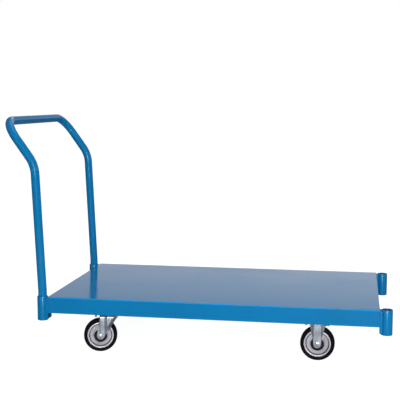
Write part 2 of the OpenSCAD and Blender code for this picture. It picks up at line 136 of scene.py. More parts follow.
class CartSizes(bpy.types.PropertyGroup):
    """Sizes of the finishing detail."""

    sheet: bpy.props.FloatProperty(
        name="Deck sheet", description="Thickness of the deck sheet", default=0.0025, unit="LENGTH"
    )
    fold: bpy.props.FloatProperty(
        name="Fold radius", description="Outside radius of the deck's folds", default=0.005, unit="LENGTH"
    )
    channel: bpy.props.FloatProperty(
        name="Channel sheet", description="Thickness of the cross channels", default=0.003, unit="LENGTH"
    )
    rail: bpy.props.FloatProperty(
        name="Rail sheet", description="Thickness of the hat rails", default=0.002, unit="LENGTH"
    )
    flange: bpy.props.FloatProperty(
        name="Rail flange", description="Width of a hat rail's flange", default=0.018, unit="LENGTH"
    )
    socket_wall: bpy.props.FloatProperty(
        name="Socket wall", description="Wall of a corner socket", default=0.0035, unit="LENGTH"
    )
    tube_wall: bpy.props.FloatProperty(
        name="Handle wall", description="Wall of the handle tube", default=0.002, unit="LENGTH"
    )
    foot_radius: bpy.props.FloatProperty(
        name="Foot bend", description="Centre-line radius above the sockets", default=0.1, unit="LENGTH"
    )
    knee_radius: bpy.props.FloatProperty(
        name="Leg bend", description="Centre-line radius of the leg bends", default=0.12, unit="LENGTH"
    )
    corner_radius: bpy.props.FloatProperty(
        name="Corner bend", description="Centre-line radius at the crossbar", default=0.078, unit="LENGTH"
    )
    knee_height: bpy.props.FloatProperty(
        name="Knee height", description="Height where the legs bend back", default=0.705, unit="LENGTH"
    )
    lean: bpy.props.FloatProperty(
        name="Leg lean",
        description="How far the legs lean back",
        default=math.radians(2.6),
        subtype="ANGLE",
    )
    fork_sheet: bpy.props.FloatProperty(
        name="Fork sheet", description="Thickness of the fork sheet", default=0.0026, unit="LENGTH"
    )
    press_depth: bpy.props.FloatProperty(
        name="Press depth", description="Depth of the forks' pressed flanges", default=0.0052, unit="LENGTH"
    )
    bead: bpy.props.FloatProperty(
        name="Weld bead", description="Half width of a weld bead", default=0.0024, unit="LENGTH"
    )


class CartColours(bpy.types.PropertyGroup):
    """Colours of the finishes."""

    paint: bpy.props.FloatVectorProperty(
        name="Paint", description="Blue enamel", subtype="COLOR", size=3, default=(0.001, 0.217, 0.510)
    )
    zinc: bpy.props.FloatVectorProperty(
        name="Zinc", description="Zinc plated forks", subtype="COLOR", size=3, default=(0.52, 0.56, 0.62)
    )
    steel: bpy.props.FloatVectorProperty(
        name="Bright steel",
        description="Bolts and nuts",
        subtype="COLOR",
        size=3,
        default=(0.66, 0.67, 0.69),
    )
    rim: bpy.props.FloatVectorProperty(
        name="Rim", description="Pressed rims", subtype="COLOR", size=3, default=(0.60, 0.58, 0.64)
    )
    rubber: bpy.props.FloatVectorProperty(
        name="Rubber", description="Solid tyres", subtype="COLOR", size=3, default=(0.002, 0.002, 0.003)
    )
    plastic: bpy.props.FloatVectorProperty(
        name="Plastic", description="Thread guards", subtype="COLOR", size=3, default=(0.006, 0.006, 0.007)
    )


class CartStage(bpy.types.PropertyGroup):
    """Camera and light."""

    lens: bpy.props.FloatProperty(
        name="Lens", description="Focal length on a 36 mm sensor, in mm", default=80.14
    )
    yaw: bpy.props.FloatProperty(
        name="Camera turn", description="Turn about the vertical", default=0.1755, subtype="ANGLE"
    )
    pitch: bpy.props.FloatProperty(
        name="Camera dip", description="Angle below level", default=0.1119, subtype="ANGLE"
    )
    stand: bpy.props.FloatVectorProperty(
        name="Camera stand",
        description="Camera place from the middle of the deck, on the floor",
        subtype="TRANSLATION",
        unit="LENGTH",
        default=(0.5185, -3.4413, 0.9415),
    )
    key_power: bpy.props.FloatProperty(
        name="Key light", description="Power of the front light", default=60.0, unit="POWER"
    )


# ---------- outlines ----------


def rounded(points, radius, closed=False, step=10.0):
    """The points with each corner turned into an arc; radius is one number or one per point."""
    pts = [Vector(p) for p in points]
    count = len(pts)
    radii = list(radius) if isinstance(radius, (list, tuple)) else [radius] * count
    out = []
    for i, p in enumerate(pts):
        end = not closed and i in (0, count - 1)
        if end or radii[i] <= 0:
            out.append(p)
            continue
        to_last = (pts[i - 1] - p).normalized()
        to_next = (pts[(i + 1) % count] - p).normalized()
        half = to_last.angle(to_next) / 2
        turn = math.pi - 2 * half
        if turn < 1e-3:
            out.append(p)
            continue
        cut = radii[i] / math.tan(half)
        centre = p + (to_last + to_next).normalized() * (radii[i] / math.sin(half))
        first = p + to_last * cut - centre
        last = p + to_next * cut - centre
        steps = max(2, math.ceil(math.degrees(turn) / step))
        out.append(centre + first + to_last * HOLD)
        for k in range(steps + 1):
            a = turn * k / steps
            out.append(centre + (first * math.sin(turn - a) + last * math.sin(a)) / math.sin(turn))
        out.append(centre + last + to_next * HOLD)
    return out


def strip(points, thickness, radius):
    """Closed outline of a sheet folded along the centre line given."""
    line = rounded([Vector(p) for p in points], radius)
    one, other = [], []
    for i, p in enumerate(line):
        run = (line[min(i + 1, len(line) - 1)] - line[max(i - 1, 0)]).normalized()
        across = Vector((-run.y, run.x)) * thickness / 2
        one.append(p + across)
        other.append(p - across)
    return one + other[::-1]


def tangent(point, radius, side):
    """Where the line from a point touches a circle about the origin; side is 1 or -1."""
    away = Vector(point)
    a = math.atan2(away.y, away.x) + side * math.acos(radius / away.length)
    return radius * Vector((math.cos(a), math.sin(a)))


# ---------- solids, added to a bmesh ----------


def add_loops(bm, loops, caps=False, wrap=False):
    """Skins a list of equal closed loops; wrap joins the last loop to the first."""
    rows = [[bm.verts.new(p) for p in loop] for loop in loops]
    count = len(rows[0])
    pairs = list(zip(rows, rows[1:]))
    if wrap:
        pairs.append((rows[-1], rows[0]))
    for a, b in pairs:
        for j in range(count):
            k = (j + 1) % count
            bm.faces.new((a[j], b[j], b[k], a[k]))
    if caps:
        bm.faces.new(rows[0][::-1])
        bm.faces.new(rows[-1])


def add_lathe(bm, profile, place, steps=96):
    """Turns a closed profile of (radius, height) about the local Z axis."""
    loops = []
    for i in range(steps):
        a = 2 * math.pi * i / steps
        loops.append([place @ Vector((r * math.cos(a), r * math.sin(a), h)) for r, h in profile])
    add_loops(bm, loops, wrap=True)


def add_prism(bm, outline, low, high, place, soften):
    """A straight prism over an outline in local XY, its end edges rounded by soften."""
    ease = [(0.0, soften), (soften * 0.3, soften * 0.3), (soften, 0.0), (soften + HOLD, 0.0)]
    levels = [(low + h, d) for h, d in ease] + [(high - h, d) for h, d in ease[::-1]]
    loops = [
        [place @ Vector((*p, z)) for p in (inset(outline, d) if d else outline)]
        for z, d in levels
    ]
    add_loops(bm, loops, caps=True)


def inset(outline, distance):
    """The outline moved inwards by a small distance."""
    pts = [Vector(p).to_2d() for p in outline]
    area = sum(a.x * b.y - b.x * a.y for a, b in zip(pts, pts[1:] + pts[:1]))
    turn = 1 if area > 0 else -1
    out = []
    for i, p in enumerate(pts):
        before = (p - pts[i - 1]).normalized()
        after = (pts[(i + 1) % len(pts)] - p).normalized()
        run = before + after
        if run.length < 1e-6:
            run = after
        run.normalize()
        lean = max(run.dot(after), 0.35)
        out.append(p + Vector((-run.y, run.x)) * turn * distance / lean)
    return out


def tube_frames(path):
    """A right-handed frame at each point of a path, turning as little as it can."""
    frames = []
    side = None
    for i, p in enumerate(path):
        run = (path[min(i + 1, len(path) - 1)] - path[max(i - 1, 0)]).normalized()
        if side is None:
            side = run.orthogonal().normalized()
        side = (side - run * side.dot(run)).normalized()
        frames.append((p, side, run.cross(side)))
    return frames


def add_tube(bm, path, radius, wall, steps=56):
    """A round tube with open ends along a path."""
    ring = [(math.cos(2 * math.pi * j / steps), math.sin(2 * math.pi * j / steps)) for j in range(steps)]
    frames = tube_frames(path)

    def loop(frame_at, r):
        p, u, v = frame_at
        return [p + (u * c + v * s) * r for c, s in ring]

    outer = [loop(f, radius) for f in frames]
    inner = [loop(f, radius - wall) for f in frames]
    add_loops(bm, outer + inner[::-1], wrap=True)


def add_weld(bm, start, end, width, ripple=2.6, steps=12):
    """A rippled weld bead between two points, widest in each ripple."""
    start, end = Vector(start), Vector(end)
    count = max(6, int((end - start).length / ripple * 6))
    run = (end - start).normalized()
    side = run.orthogonal().normalized()
    up = run.cross(side)
    loops = []
    for i in range(count + 1):
        t = i / count
        wave = 1 + 0.14 * math.sin(t * count / 6 * 2 * math.pi)
        end_fade = math.sqrt(max(0.02, 1 - (2 * t - 1) ** 8))
        r = width * wave * end_fade
        p = start + (end - start) * t
        angles = [2 * math.pi * j / steps for j in range(steps)]
        loops.append([p + (side * math.cos(a) + up * math.sin(a)) * r for a in angles])
    add_loops(bm, loops, caps=True)


def hex_radius(angle, flats):
    """Distance from the middle of a hexagon to its side, with slightly rounded corners."""
    sector = (angle + math.pi / 6) % (math.pi / 3) - math.pi / 6
    return min(flats / 2 / math.cos(sector), flats / 2 * 1.135)


def add_hex(bm, flats, low, high, place, bore=0.0, collar=0.0, steps=72):
    """A chamfered hexagon; with a bore it is a nut, and collar adds a locking ring on top."""
    rim = flats / 2 * 0.96
    loops = []
    for i in range(steps):
        a = 2 * math.pi * i / steps
        r = hex_radius(a, flats)
        drop = (r - rim) * 0.58
        section = [(rim, low), (r, low + drop)] if bore else [(r, low)]
        section += [(r, high - drop), (rim, high)]
        if collar:
            section += [(rim * 0.86, high), (rim * 0.84, high + collar * 0.8), (rim * 0.76, high + collar)]
        if bore:
            top = high + collar
            section += [(bore + 0.5, top), (bore, top - 0.5), (bore, low + 0.5), (bore + 0.5, low)]
        else:
            section += [(rim * 0.5, high - 0.15), (0.0, high - 0.15), (0.0, low)]
        turn = Vector((math.cos(a), math.sin(a)))
        loops.append([place @ Vector((turn.x * q, turn.y * q, h)) for q, h in section])
    add_loops(bm, loops, wrap=True)


def thread_profile(radius, low, high, pitch=1.25, depth=0.55):
    """Profile of a threaded end: fine grooves and a chamfered tip at the high end."""
    pts = [(0.0, low)]
    h = low
    while h < high - 1.2 * pitch:
        pts += [(radius, h), (radius, h + pitch * 0.3), (radius - depth, h + pitch * 0.65)]
        h += pitch
    pts += [(radius, h), (radius, high - 0.8), (radius - 1.0, high), (0.0, high)]
    return pts


def wheel_frame(end, side):
    """Frame at the middle of a wheel, turned with its caster: Y along the axle, Z up."""
    spin = joint(f"{end}_{side}_wheel_spin")
    axis = Vector(spin["axis"])
    turn = Matrix.Rotation(math.atan2(-axis.x, axis.y), 4, "Z")
    return Matrix.Translation(joint_mm(spin["name"])) @ turn


def axle_place(end, side):
    """Frame of a wheel for turned shapes: Z outwards along the axle."""
    quarter = math.radians(-90 if side == "left" else 90)
    return wheel_frame(end, side) @ Matrix.Rotation(quarter, 4, "X")


def fork_place(end, side):
    """Frame of a fork: X forward, Y outwards, Z up. Left and right mirror."""
    return wheel_frame(end, side) @ Matrix.Scale(1 if side == "left" else -1, 4, (0, 1, 0))


def finish_mesh(bm, name, body, materials, replaces=(), sharp=34.0):
    """Turns a bmesh in millimetres into a shaded piece that rides on a body."""
    bmesh.ops.remove_doubles(bm, verts=bm.verts, dist=1e-4)
    bmesh.ops.dissolve_degenerate(bm, edges=bm.edges, dist=1e-5)
    bmesh.ops.recalc_face_normals(bm, faces=bm.faces)
    bmesh.ops.scale(bm, vec=Vector((MM, MM, MM)), verts=bm.verts)
    mesh = bpy.data.meshes.new(name)
    bm.to_mesh(mesh)
    bm.free()
    mesh.polygons.foreach_set("use_smooth", [True] * len(mesh.polygons))
    mesh.set_sharp_from_angle(angle=math.radians(sharp))
    for m in materials:
        mesh.materials.append(bpy.data.materials[m])
    piece = bpy.data.objects.new(name, mesh)
    bpy.context.collection.objects.link(piece)
    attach(piece, body)
    if replaces:
        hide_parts(*replaces)


def painted(bm, name, node):
    """Finishes a blue piece of the chassis that stands for one node."""
    finish_mesh(bm, name, "chassis", ["frame paint"], [node])


def bright_set(bm, node):
    """Finishes a set of bright fixings and names it after its node."""
    finish_mesh(bm, node[:-1] + "_set", "chassis", ["bright steel"], [node])


# Axes for a prism: its outline lies in the first two directions and it runs along the third
ALONG_X = Matrix(((0, 0, 1, 0), (1, 0, 0, 0), (0, 1, 0, 0), (0, 0, 0, 1)))
ALONG_Y = Matrix(((1, 0, 0, 0), (0, 0, -1, 0), (0, 1, 0, 0), (0, 0, 0, 1)))
UPRIGHT = Matrix.Identity(4)
UPSIDE_DOWN = Matrix.Rotation(math.pi, 4, "X")


def at(x, y, z):
    """A move, as a matrix."""
    return Matrix.Translation((x, y, z))


# ---------- deck and underframe ----------


def build_deck(sizes):
    """One sheet folded down along both long sides."""
    t = mm(sizes.sheet)
    half = DECK_HIGH.y - t / 2
    top = DECK_HIGH.z - t / 2
    line = [(-half, DECK_LOW.z), (-half, top), (half, top), (half, DECK_LOW.z)]
    outline = strip(line, t, mm(sizes.fold) - t / 2)
    bm = bmesh.new()
    add_prism(bm, outline, DECK_LOW.x, DECK_HIGH.x, ALONG_X, soften=0.5)
    bm.normal_update()
    # Faces of the two long folds get a lighter copy of the paint: a painted highlight along the folded
    # edges
    for face in bm.faces:
        if 0.3 < abs(face.normal.z) < 0.9 and abs(face.normal.x) < 0.1:
            face.material_index = 1
    finishes = ["deck paint", "fold highlight paint"]
    finish_mesh(bm, "deck_sheet", "chassis", finishes, ["deck_panel"])


def build_end_angle(sizes, end):
    """Folded angle that closes one end of the deck."""
    node = f"{end}_end_channel"
    low, high = box_mm(node)
    t = mm(sizes.sheet)
    face = high.x - t / 2 if end == "front" else low.x + t / 2
    lip = low.x if end == "front" else high.x
    line = [(face, high.z), (face, low.z + t / 2), (lip, low.z + t / 2)]
    bm = bmesh.new()
    add_prism(bm, strip(line, t, t), low.y, high.y, ALONG_Y, soften=0.4)
    painted(bm, f"{end}_end_angle", node)


def build_cross_channel(sizes, end):
    """Deep channel that carries one pair of casters."""
    node = f"{end}_crossmember"
    low, high = box_mm(node)
    t = mm(sizes.channel)
    x0, x1, z = low.x + t / 2, high.x - t / 2, low.z + t / 2
    outline = strip([(x0, high.z), (x0, z), (x1, z), (x1, high.z)], t, 1.5 * t)
    bm = bmesh.new()
    add_prism(bm, outline, low.y, high.y, ALONG_Y, soften=0.5)
    painted(bm, f"{end}_cross_channel", node)


def build_hat_rail(sizes, side):
    """Hat rail under the deck."""
    node = f"{side}_stiffener"
    low, high = box_mm(node)
    t = mm(sizes.rail)
    wall = mm(sizes.flange) - t / 2
    y0, y1 = low.y + wall, high.y - wall
    top, foot = high.z - t / 2, low.z + t / 2
    line = [(low.y, top), (y0, top), (y0, foot), (y1, foot), (y1, top), (high.y, top)]
    bm = bmesh.new()
    add_prism(bm, strip(line, t, 1.5 * t), low.x, high.x, ALONG_X, soften=0.4)
    painted(bm, f"{side}_hat_rail", node)


# ---------- corner sockets ----------


def build_socket(sizes, end, side):
    """Open tube at one corner, with eased rims."""
    node = f"{end}_{side}_socket"
    low, high = box_mm(node)
    outer = (high.x - low.x) / 2
    bore = outer - mm(sizes.socket_wall)
    length = high.z - low.z
    profile = [(bore, 0.8), (bore + 0.8, 0), (outer, 0), (outer, length - 1.2)]
    profile += [(outer - 0.35, length - 0.35), (outer - 1.2, length), (bore + 0.9, length)]
    profile += [(bore + 0.25, length - 0.25), (bore, length - 0.9)]
    middle = (low + high) / 2
    bm = bmesh.new()
    add_lathe(bm, profile, at(middle.x, middle.y, low.z))
    # Faces inside the bore get a near-black finish: painted shade in the tube's hollow
    for face in bm.faces:
        spot = face.calc_center_median()
        if math.hypot(spot.x - middle.x, spot.y - middle.y) < bore + 0.05:
            face.material_index = 1
    name = f"{end}_{side}_socket_tube"
    finishes = ["frame paint", "bare bore"]
    finish_mesh(bm, name, "chassis", finishes, [node])


def build_socket_rings():
    """Ring under each socket, which the handle's legs stand on."""
    low, high = box_mm("socket_rings")
    bm = bmesh.new()
    for end, side in CORNERS:
        socket_low, socket_high = box_mm(f"{end}_{side}_socket")
        middle = (socket_low + socket_high) / 2
        outer = (socket_high.x - socket_low.x) / 2
        t = high.z - low.z
        profile = [(outer / 2, 0.6), (outer / 2 + 0.6, 0), (outer - 1, 0), (outer - 0.2, 0.6)]
        profile += [(outer - 0.2, t), (outer / 2, t)]
        add_lathe(bm, profile, at(middle.x, middle.y, low.z))
    painted(bm, "socket_foot_rings", "socket_rings")


def build_corner_plate(end, side):
    """Plate between the deck's end and a socket, hollowed to fit the tube."""
    node = f"{end}_{side}_corner_plate"
    low, high = box_mm(node)
    socket_low, socket_high = box_mm(f"{end}_{side}_socket")
    middle = (socket_low + socket_high) / 2
    radius = (socket_high.x - socket_low.x) / 2
    out = 1 if end == "front" else -1
    deck_face, socket_face = (low.x, high.x) if end == "front" else (high.x, low.x)
    sweep = math.acos(abs(middle.x - socket_face) / radius)
    hollow = []
    for k in range(9):
        a = sweep * (k / 4 - 1)
        hollow.append((middle.x - out * radius * math.cos(a), middle.y + radius * math.sin(a)))
    corners = rounded([(socket_face, high.y), (deck_face, high.y), (deck_face, low.y)], 0.8)
    outline = [(socket_face, low.y), *hollow, *corners]
    bm = bmesh.new()
    add_prism(bm, outline, low.z, high.z, UPRIGHT, soften=0.6)
    painted(bm, f"{end}_{side}_corner_web", node)


def add_corner_welds(bm, sizes, end, side):
    """Beads where a corner plate meets its socket, the skirt and the deck's end."""
    r = mm(sizes.bead)
    out = 1 if end == "front" else -1
    hand = 1 if side == "left" else -1
    low, high = box_mm(f"{end}_{side}_corner_plate")
    deck_face, socket_face = (low.x, high.x) if end == "front" else (high.x, low.x)
    skirt = hand * DECK_HIGH.y
    inner = low.y if hand > 0 else high.y
    middle = middle_mm(f"{end}_{side}_socket")
    for y in (middle.y + SOCKET_CHORD, middle.y - SOCKET_CHORD):
        add_weld(bm, (socket_face, y, low.z + 3), (socket_face, y, high.z - 2), r * 1.1)
    face_y = skirt - hand * 0.8
    for k in range(STITCHES):
        z = low.z + STITCH_START + STITCH_PITCH * k
        bottom, top = (deck_face + out, face_y, z), (deck_face + out, face_y, z + STITCH_LENGTH)
        add_weld(bm, bottom, top, r * 0.85)
    x = deck_face + out
    add_weld(bm, (x, inner, DECK_LOW.z + 4), (x, inner, high.z - 2), r)
    x = deck_face + out * 0.5
    add_weld(bm, (x, inner, high.z), (x, skirt - hand * 5, high.z), r)
    x = deck_face - out * mm(sizes.sheet)
    y = hand * (DECK_HIGH.y - mm(sizes.sheet))
    add_weld(bm, (x, y, DECK_LOW.z + 4), (x, y, DECK_HIGH.z - 8), r)


def build_welds(sizes):
    """Weld beads at the corner plates, end angles, channels and rails."""
    r = mm(sizes.bead)
    bm = bmesh.new()
    for end in ENDS:
        for side in SIDES:
            add_corner_welds(bm, sizes, end, side)
        low, high = box_mm(f"{end}_crossmember")
        top = high.z
        for x in (low.x, high.x):
            for hand in (-1, 1):
                for y in CHANNEL_WELDS:
                    near, far = hand * (y - CHANNEL_WELD_HALF), hand * (y + CHANNEL_WELD_HALF)
                    add_weld(bm, (x, near, top), (x, far, top), r)
                edge = hand * high.y
                add_weld(bm, (x, edge, low.z + 6), (x, edge, top - 6), r)
    for side in SIDES:
        low, high = box_mm(f"{side}_stiffener")
        for y in (low.y, high.y):
            for k in range(RAIL_WELDS):
                x = low.x + (high.x - low.x) * (k + 0.5) / RAIL_WELDS
                first, last = x - RAIL_WELD_HALF, x + RAIL_WELD_HALF
                add_weld(bm, (first, y, high.z), (last, y, high.z), r * 0.8)
    finish_mesh(bm, "weld_beads", "chassis", ["frame paint"], sharp=60)


# ---------- push handle ----------


def build_handle(sizes):
    """One bent tube: two legs and a crossbar, plugged into the rear sockets."""
    low, high = box_mm("push_handle")
    socket = middle_mm("rear_left_socket")
    radius = high.y - socket.y
    lean_from = DECK_HIGH.z + 20
    knee = mm(sizes.knee_height)
    knee_x = socket.x - (knee - lean_from) * math.tan(sizes.lean)
    leg = [
        (socket.x, socket.y, low.z),
        (socket.x, socket.y, lean_from),
        (knee_x, socket.y, knee),
        (low.x + radius, socket.y, high.z - radius),
    ]
    other = [(x, -y, z) for x, y, z in leg[::-1]]
    bends = [0, mm(sizes.foot_radius), mm(sizes.knee_radius), mm(sizes.corner_radius)]
    path = rounded(leg + other, bends + bends[::-1], step=3.0)
    bm = bmesh.new()
    add_tube(bm, path, radius, mm(sizes.tube_wall))
    finish_mesh(bm, "handle_tube", "push_handle", ["tube paint"], ["push_handle"])


# ---------- caster fixings ----------


def caster_holes():
    """Place of every caster bolt, seen from above."""
    places = []
    for end, side in CORNERS:
        middle = middle_mm(f"rear_{side}_top_plate" if end == "rear" else f"front_{side}_fork")
        for sx in (-1, 1):
            for sy in (-1, 1):
                x = middle.x + sx * BOLT_PATTERN[0] / 2
                y = middle.y + sy * BOLT_PATTERN[1] / 2
                places.append((x, y))
    return places


def build_caster_bolts():
    """Hexagon bolts that hold the casters, heads inside the channels."""
    low, high = box_mm("caster_bolts")
    washer_top = box_mm("caster_washers")[1].z
    bm = bmesh.new()
    for x, y in caster_holes():
        add_hex(bm, BOLT_FLATS, 0.0, high.z - washer_top, at(x, y, washer_top))
        down = at(x, y, washer_top) @ UPSIDE_DOWN
        add_lathe(bm, thread_profile(BOLT_R, 0.0, washer_top - low.z), down, steps=28)
    bright_set(bm, "caster_bolts")


def build_caster_washers():
    """Plain washers under the bolt heads."""
    low, high = box_mm("caster_washers")
    t = high.z - low.z
    profile = [(4.5, 0), (8.1, 0), (8.5, 0.3), (8.5, t - 0.4), (8.1, t), (4.5, t)]
    bm = bmesh.new()
    for x, y in caster_holes():
        add_lathe(bm, profile, at(x, y, low.z), steps=48)
    bright_set(bm, "caster_washers")


def build_caster_nuts():
    """Locking nuts under the caster plates."""
    low, high = box_mm("caster_nuts")
    collar = 1.6
    height = high.z - low.z - collar
    bm = bmesh.new()
    for x, y in caster_holes():
        down = at(x, y, high.z) @ UPSIDE_DOWN
        add_hex(bm, BOLT_FLATS, 0.0, height, down, bore=BOLT_R - 0.2, collar=collar)
    bright_set(bm, "caster_nuts")


# ---------- forks and swivels ----------


def plate_outline(low, high, radius=10.0):
    """Rectangle with rounded corners over a box."""
    corners = [(low.x, low.y), (high.x, low.y), (high.x, high.y), (low.x, high.y)]
    return rounded([Vector(c) for c in corners], radius, closed=True, step=9.0)


def smooth(t):
    """Eases from 0 to 1."""
    t = min(max(t, 0.0), 1.0)
    return t * t * (3 - 2 * t)


def across(line, height):
    """Where an edge listed from low to high stands at a height."""
    for low, high in zip(line, line[1:]):
        if height <= high.y:
            share = (height - low.y) / max(high.y - low.y, 1e-9)
            return low.x + (high.x - low.x) * min(max(share, 0.0), 1.0)
    return line[-1].x


def fork_edge(upper, side, ease):
    """One edge of a fork leg: round its lobe from the bottom, then up through the points given."""
    touch = tangent(upper[0], LOBE_R, side)
    end = math.atan2(touch.y, touch.x)
    start = -math.pi / 2
    if side > 0 and end > start:
        end -= 2 * math.pi
    arc = [start + (end - start) * k / 16 for k in range(17)]
    line = [LOBE_R * Vector((math.cos(a), math.sin(a))) for a in arc]
    return line + rounded([touch, *upper], ease)[1:]


def arch_rows(face, top, shoulder):
    """Rows over a fork, from one lobe over the crown to the other: place and outward direction."""
    heights = [-LOBE_R * math.cos(math.pi / 2 * k / 12) for k in range(12)]
    leg = top - shoulder
    steps = int(leg / 2.2)
    heights += [leg * k / steps for k in range(steps + 1)]
    half = [(face, z, 1.0, 0.0) for z in heights]
    for k in range(1, 11):
        a = math.pi / 2 * k / 10
        c, s = math.cos(a), math.sin(a)
        half.append((face - shoulder + shoulder * c, leg + shoulder * s, c, s))
    flat = face - shoulder
    half += [(flat * (1 - k / 5), top, 0.0, 1.0) for k in range(1, 6)]
    return half + [(-y, z, -ny, nz) for y, z, ny, nz in half[-2::-1]]


def columns(x0, x1, focus, reach, count=14):
    """Places from x0 to x1, closest together round the focus."""
    wide = x1 - x0
    a = min(max(focus - reach, x0 + 0.2 * wide), x1 - 0.5 * wide)
    b = max(min(focus + reach, x1 - 0.2 * wide), a + 0.2 * wide)
    spans = ((x0, a), (a, b), (b, x1))
    return [p + (q - p) * k / count for p, q in spans for k in range(count)] + [x1]


def add_fork(bm, place, rows, back, front, depth, sheet, focus=0.0, reach=6.0):
    """A pressed sheet fork. Rows follow the arch; columns run from its back to its front edge."""
    loops = []
    for y, z, ny, nz in rows:
        x0, x1 = across(back, z), across(front, z)
        ease = min(0.5, (x1 - x0) * 0.1)
        xs = columns(x0 + ease, x1 - ease, focus, reach)
        ends = (x0, x1)
        outer = [(x0, depth(x0, ends) + ease)] + [(x, depth(x, ends)) for x in xs]
        outer += [(x1, depth(x1, ends) + ease)]
        inner = [(x0, depth(x0, ends) + sheet - ease)] + [(x, depth(x, ends) + sheet) for x in xs]
        inner += [(x1, depth(x1, ends) + sheet - ease)]
        ring = outer + inner[::-1]
        loops.append([place @ Vector((x, y - ny * d, z - nz * d)) for x, d in ring])
    add_loops(bm, loops)


def build_swivel_fork(sizes, side):
    """Pressed fork of a swivel caster: a flat strap behind and a sloped flange in front."""
    node = f"rear_{side}_fork"
    axle = joint_mm(f"rear_{side}_wheel_spin")
    pin = joint_mm(f"rear_{side}_swivel_turn")
    ahead = math.hypot(pin.x - axle.x, pin.y - axle.y)
    top = box_mm(node)[1].z - axle.z
    half = 33
    x_back, x_front = ahead - half, ahead + half
    back = fork_edge([(x_back, top - 10), (x_back, top)], 1, 14.0)
    points = [(ahead + 5, 26), (ahead + 14, 41), (x_front, top - 7), (x_front, top)]
    front = fork_edge(points, -1, [0, 22.0, 26.0, 5.0, 0])
    crease = 20.0
    press = mm(sizes.press_depth)

    def depth(x, ends):
        groove = 0.8 * press * math.exp(-(((x - crease) / 2.5) ** 2))
        bend = max(crease + 4, ends[1] - 15)
        curl = press * smooth((x - bend) / 16) * min(max((ends[1] - crease) / 12, 0.0), 1.0)
        edge = 0.25 * press * smooth((x_back + 3.5 - x) / 5)
        return groove + curl + edge

    bm = bmesh.new()
    rows = arch_rows(FORK_FACE, top, 9.0)
    sheet = mm(sizes.fork_sheet)
    add_fork(bm, fork_place("rear", side), rows, back, front, depth, sheet, focus=crease)
    finish_mesh(
        bm, f"rear_{side}_pressed_fork", f"rear_{side}_swivel", ["zinc"], [node], sharp=50
    )


def build_swivel_plate(side):
    """Top plate of a swivel caster, with its pressed ball race."""
    node = f"rear_{side}_top_plate"
    low, high = box_mm(node)
    middle = (low + high) / 2
    bm = bmesh.new()
    add_prism(bm, plate_outline(low, high), high.z - PLATE_T, high.z, UPRIGHT, soften=0.7)
    drop = high.z - PLATE_T - low.z
    race = 23.0
    profile = [(6.5, drop + 1), (6.5, 0), (race - 4, 0), (race - 1.2, 0.5), (race, 2.2)]
    profile += [(race, drop - 2.6), (race + 0.7, drop - 0.8), (race + 2.6, drop), (race + 2.6, drop + 1)]
    add_lathe(bm, profile, at(middle.x, middle.y, low.z))
    finish_mesh(bm, f"rear_{side}_swivel_plate", "chassis", ["zinc"], [node])


def build_lower_race(side):
    """Cup that holds the lower ring of balls."""
    node = f"rear_{side}_lower_race"
    low, high = box_mm(node)
    middle = (low + high) / 2
    outer = (high.x - low.x) / 2
    t = high.z - low.z
    profile = [(6.2, 0), (outer - 3.5, 0), (outer - 1, 0.5), (outer, t - 0.6), (outer - 0.5, t)]
    profile += [(outer - 2.2, t), (outer - 4, t - 0.8), (6.2, t - 0.4)]
    bm = bmesh.new()
    add_lathe(bm, profile, at(middle.x, middle.y, low.z))
    finish_mesh(
        bm, f"rear_{side}_race_cup", f"rear_{side}_swivel", ["zinc"], [node]
    )


def build_kingpins():
    """Kingpins with domed heads, riveted into the top plates."""
    low, high = box_mm("kingpins")
    bm = bmesh.new()
    for side in SIDES:
        pin = joint_mm(f"rear_{side}_swivel_turn")
        length = high.z - low.z
        profile = [(0, 0), (4.8, 0), (PIN_R, 1.2), (PIN_R, length - 3), (9.4, length - 3)]
        profile += [(10, length - 2.4), (10, length - 0.5), (9.5, length), (0, length)]
        add_lathe(bm, profile, at(pin.x, pin.y, low.z), steps=56)
    bright_set(bm, "kingpins")


def build_kingpin_nuts():
    """Nuts under the swivels."""
    low, high = box_mm("kingpin_nuts")
    bm = bmesh.new()
    for side in SIDES:
        pin = joint_mm(f"rear_{side}_swivel_turn")
        down = at(pin.x, pin.y, high.z) @ UPSIDE_DOWN
        add_hex(bm, PIN_FLATS, 0.0, high.z - low.z, down, bore=PIN_R - 0.1)
    bright_set(bm, "kingpin_nuts")


def build_fixed_fork(sizes, side):
    """Fixed fork: a plate and an arch whose sides slope back from a flat middle face."""
    node = f"front_{side}_fork"
    low, high = box_mm(node)
    axle = joint_mm(f"front_{side}_wheel_spin")
    top = high.z - PLATE_T - axle.z
    points = [(16.5, 26), (22, 42), (26.5, 60), (26.5, top)]
    front = fork_edge(points, -1, [0, 30.0, 40.0, 20.0, 0])
    back = [Vector((-p.x, p.y)) for p in front]
    press = mm(sizes.press_depth)

    def depth(x, _ends):
        fold = 0.25 * smooth((abs(x) - 13.5) / 3)
        return press * (fold + 0.75 * min(max((abs(x) - 15) / 11, 0.0), 1.0))

    bm = bmesh.new()
    rows = arch_rows(FORK_FACE, top, 16.0)
    sheet = mm(sizes.fork_sheet)
    add_fork(bm, fork_place("front", side), rows, back, front, depth, sheet, reach=14.0)
    add_prism(bm, plate_outline(low, high), high.z - PLATE_T, high.z, UPRIGHT, soften=0.7)
    finish_mesh(
        bm, f"front_{side}_fixed_fork", "chassis", ["zinc"], [node], sharp=50
    )


# ---------- wheels ----------


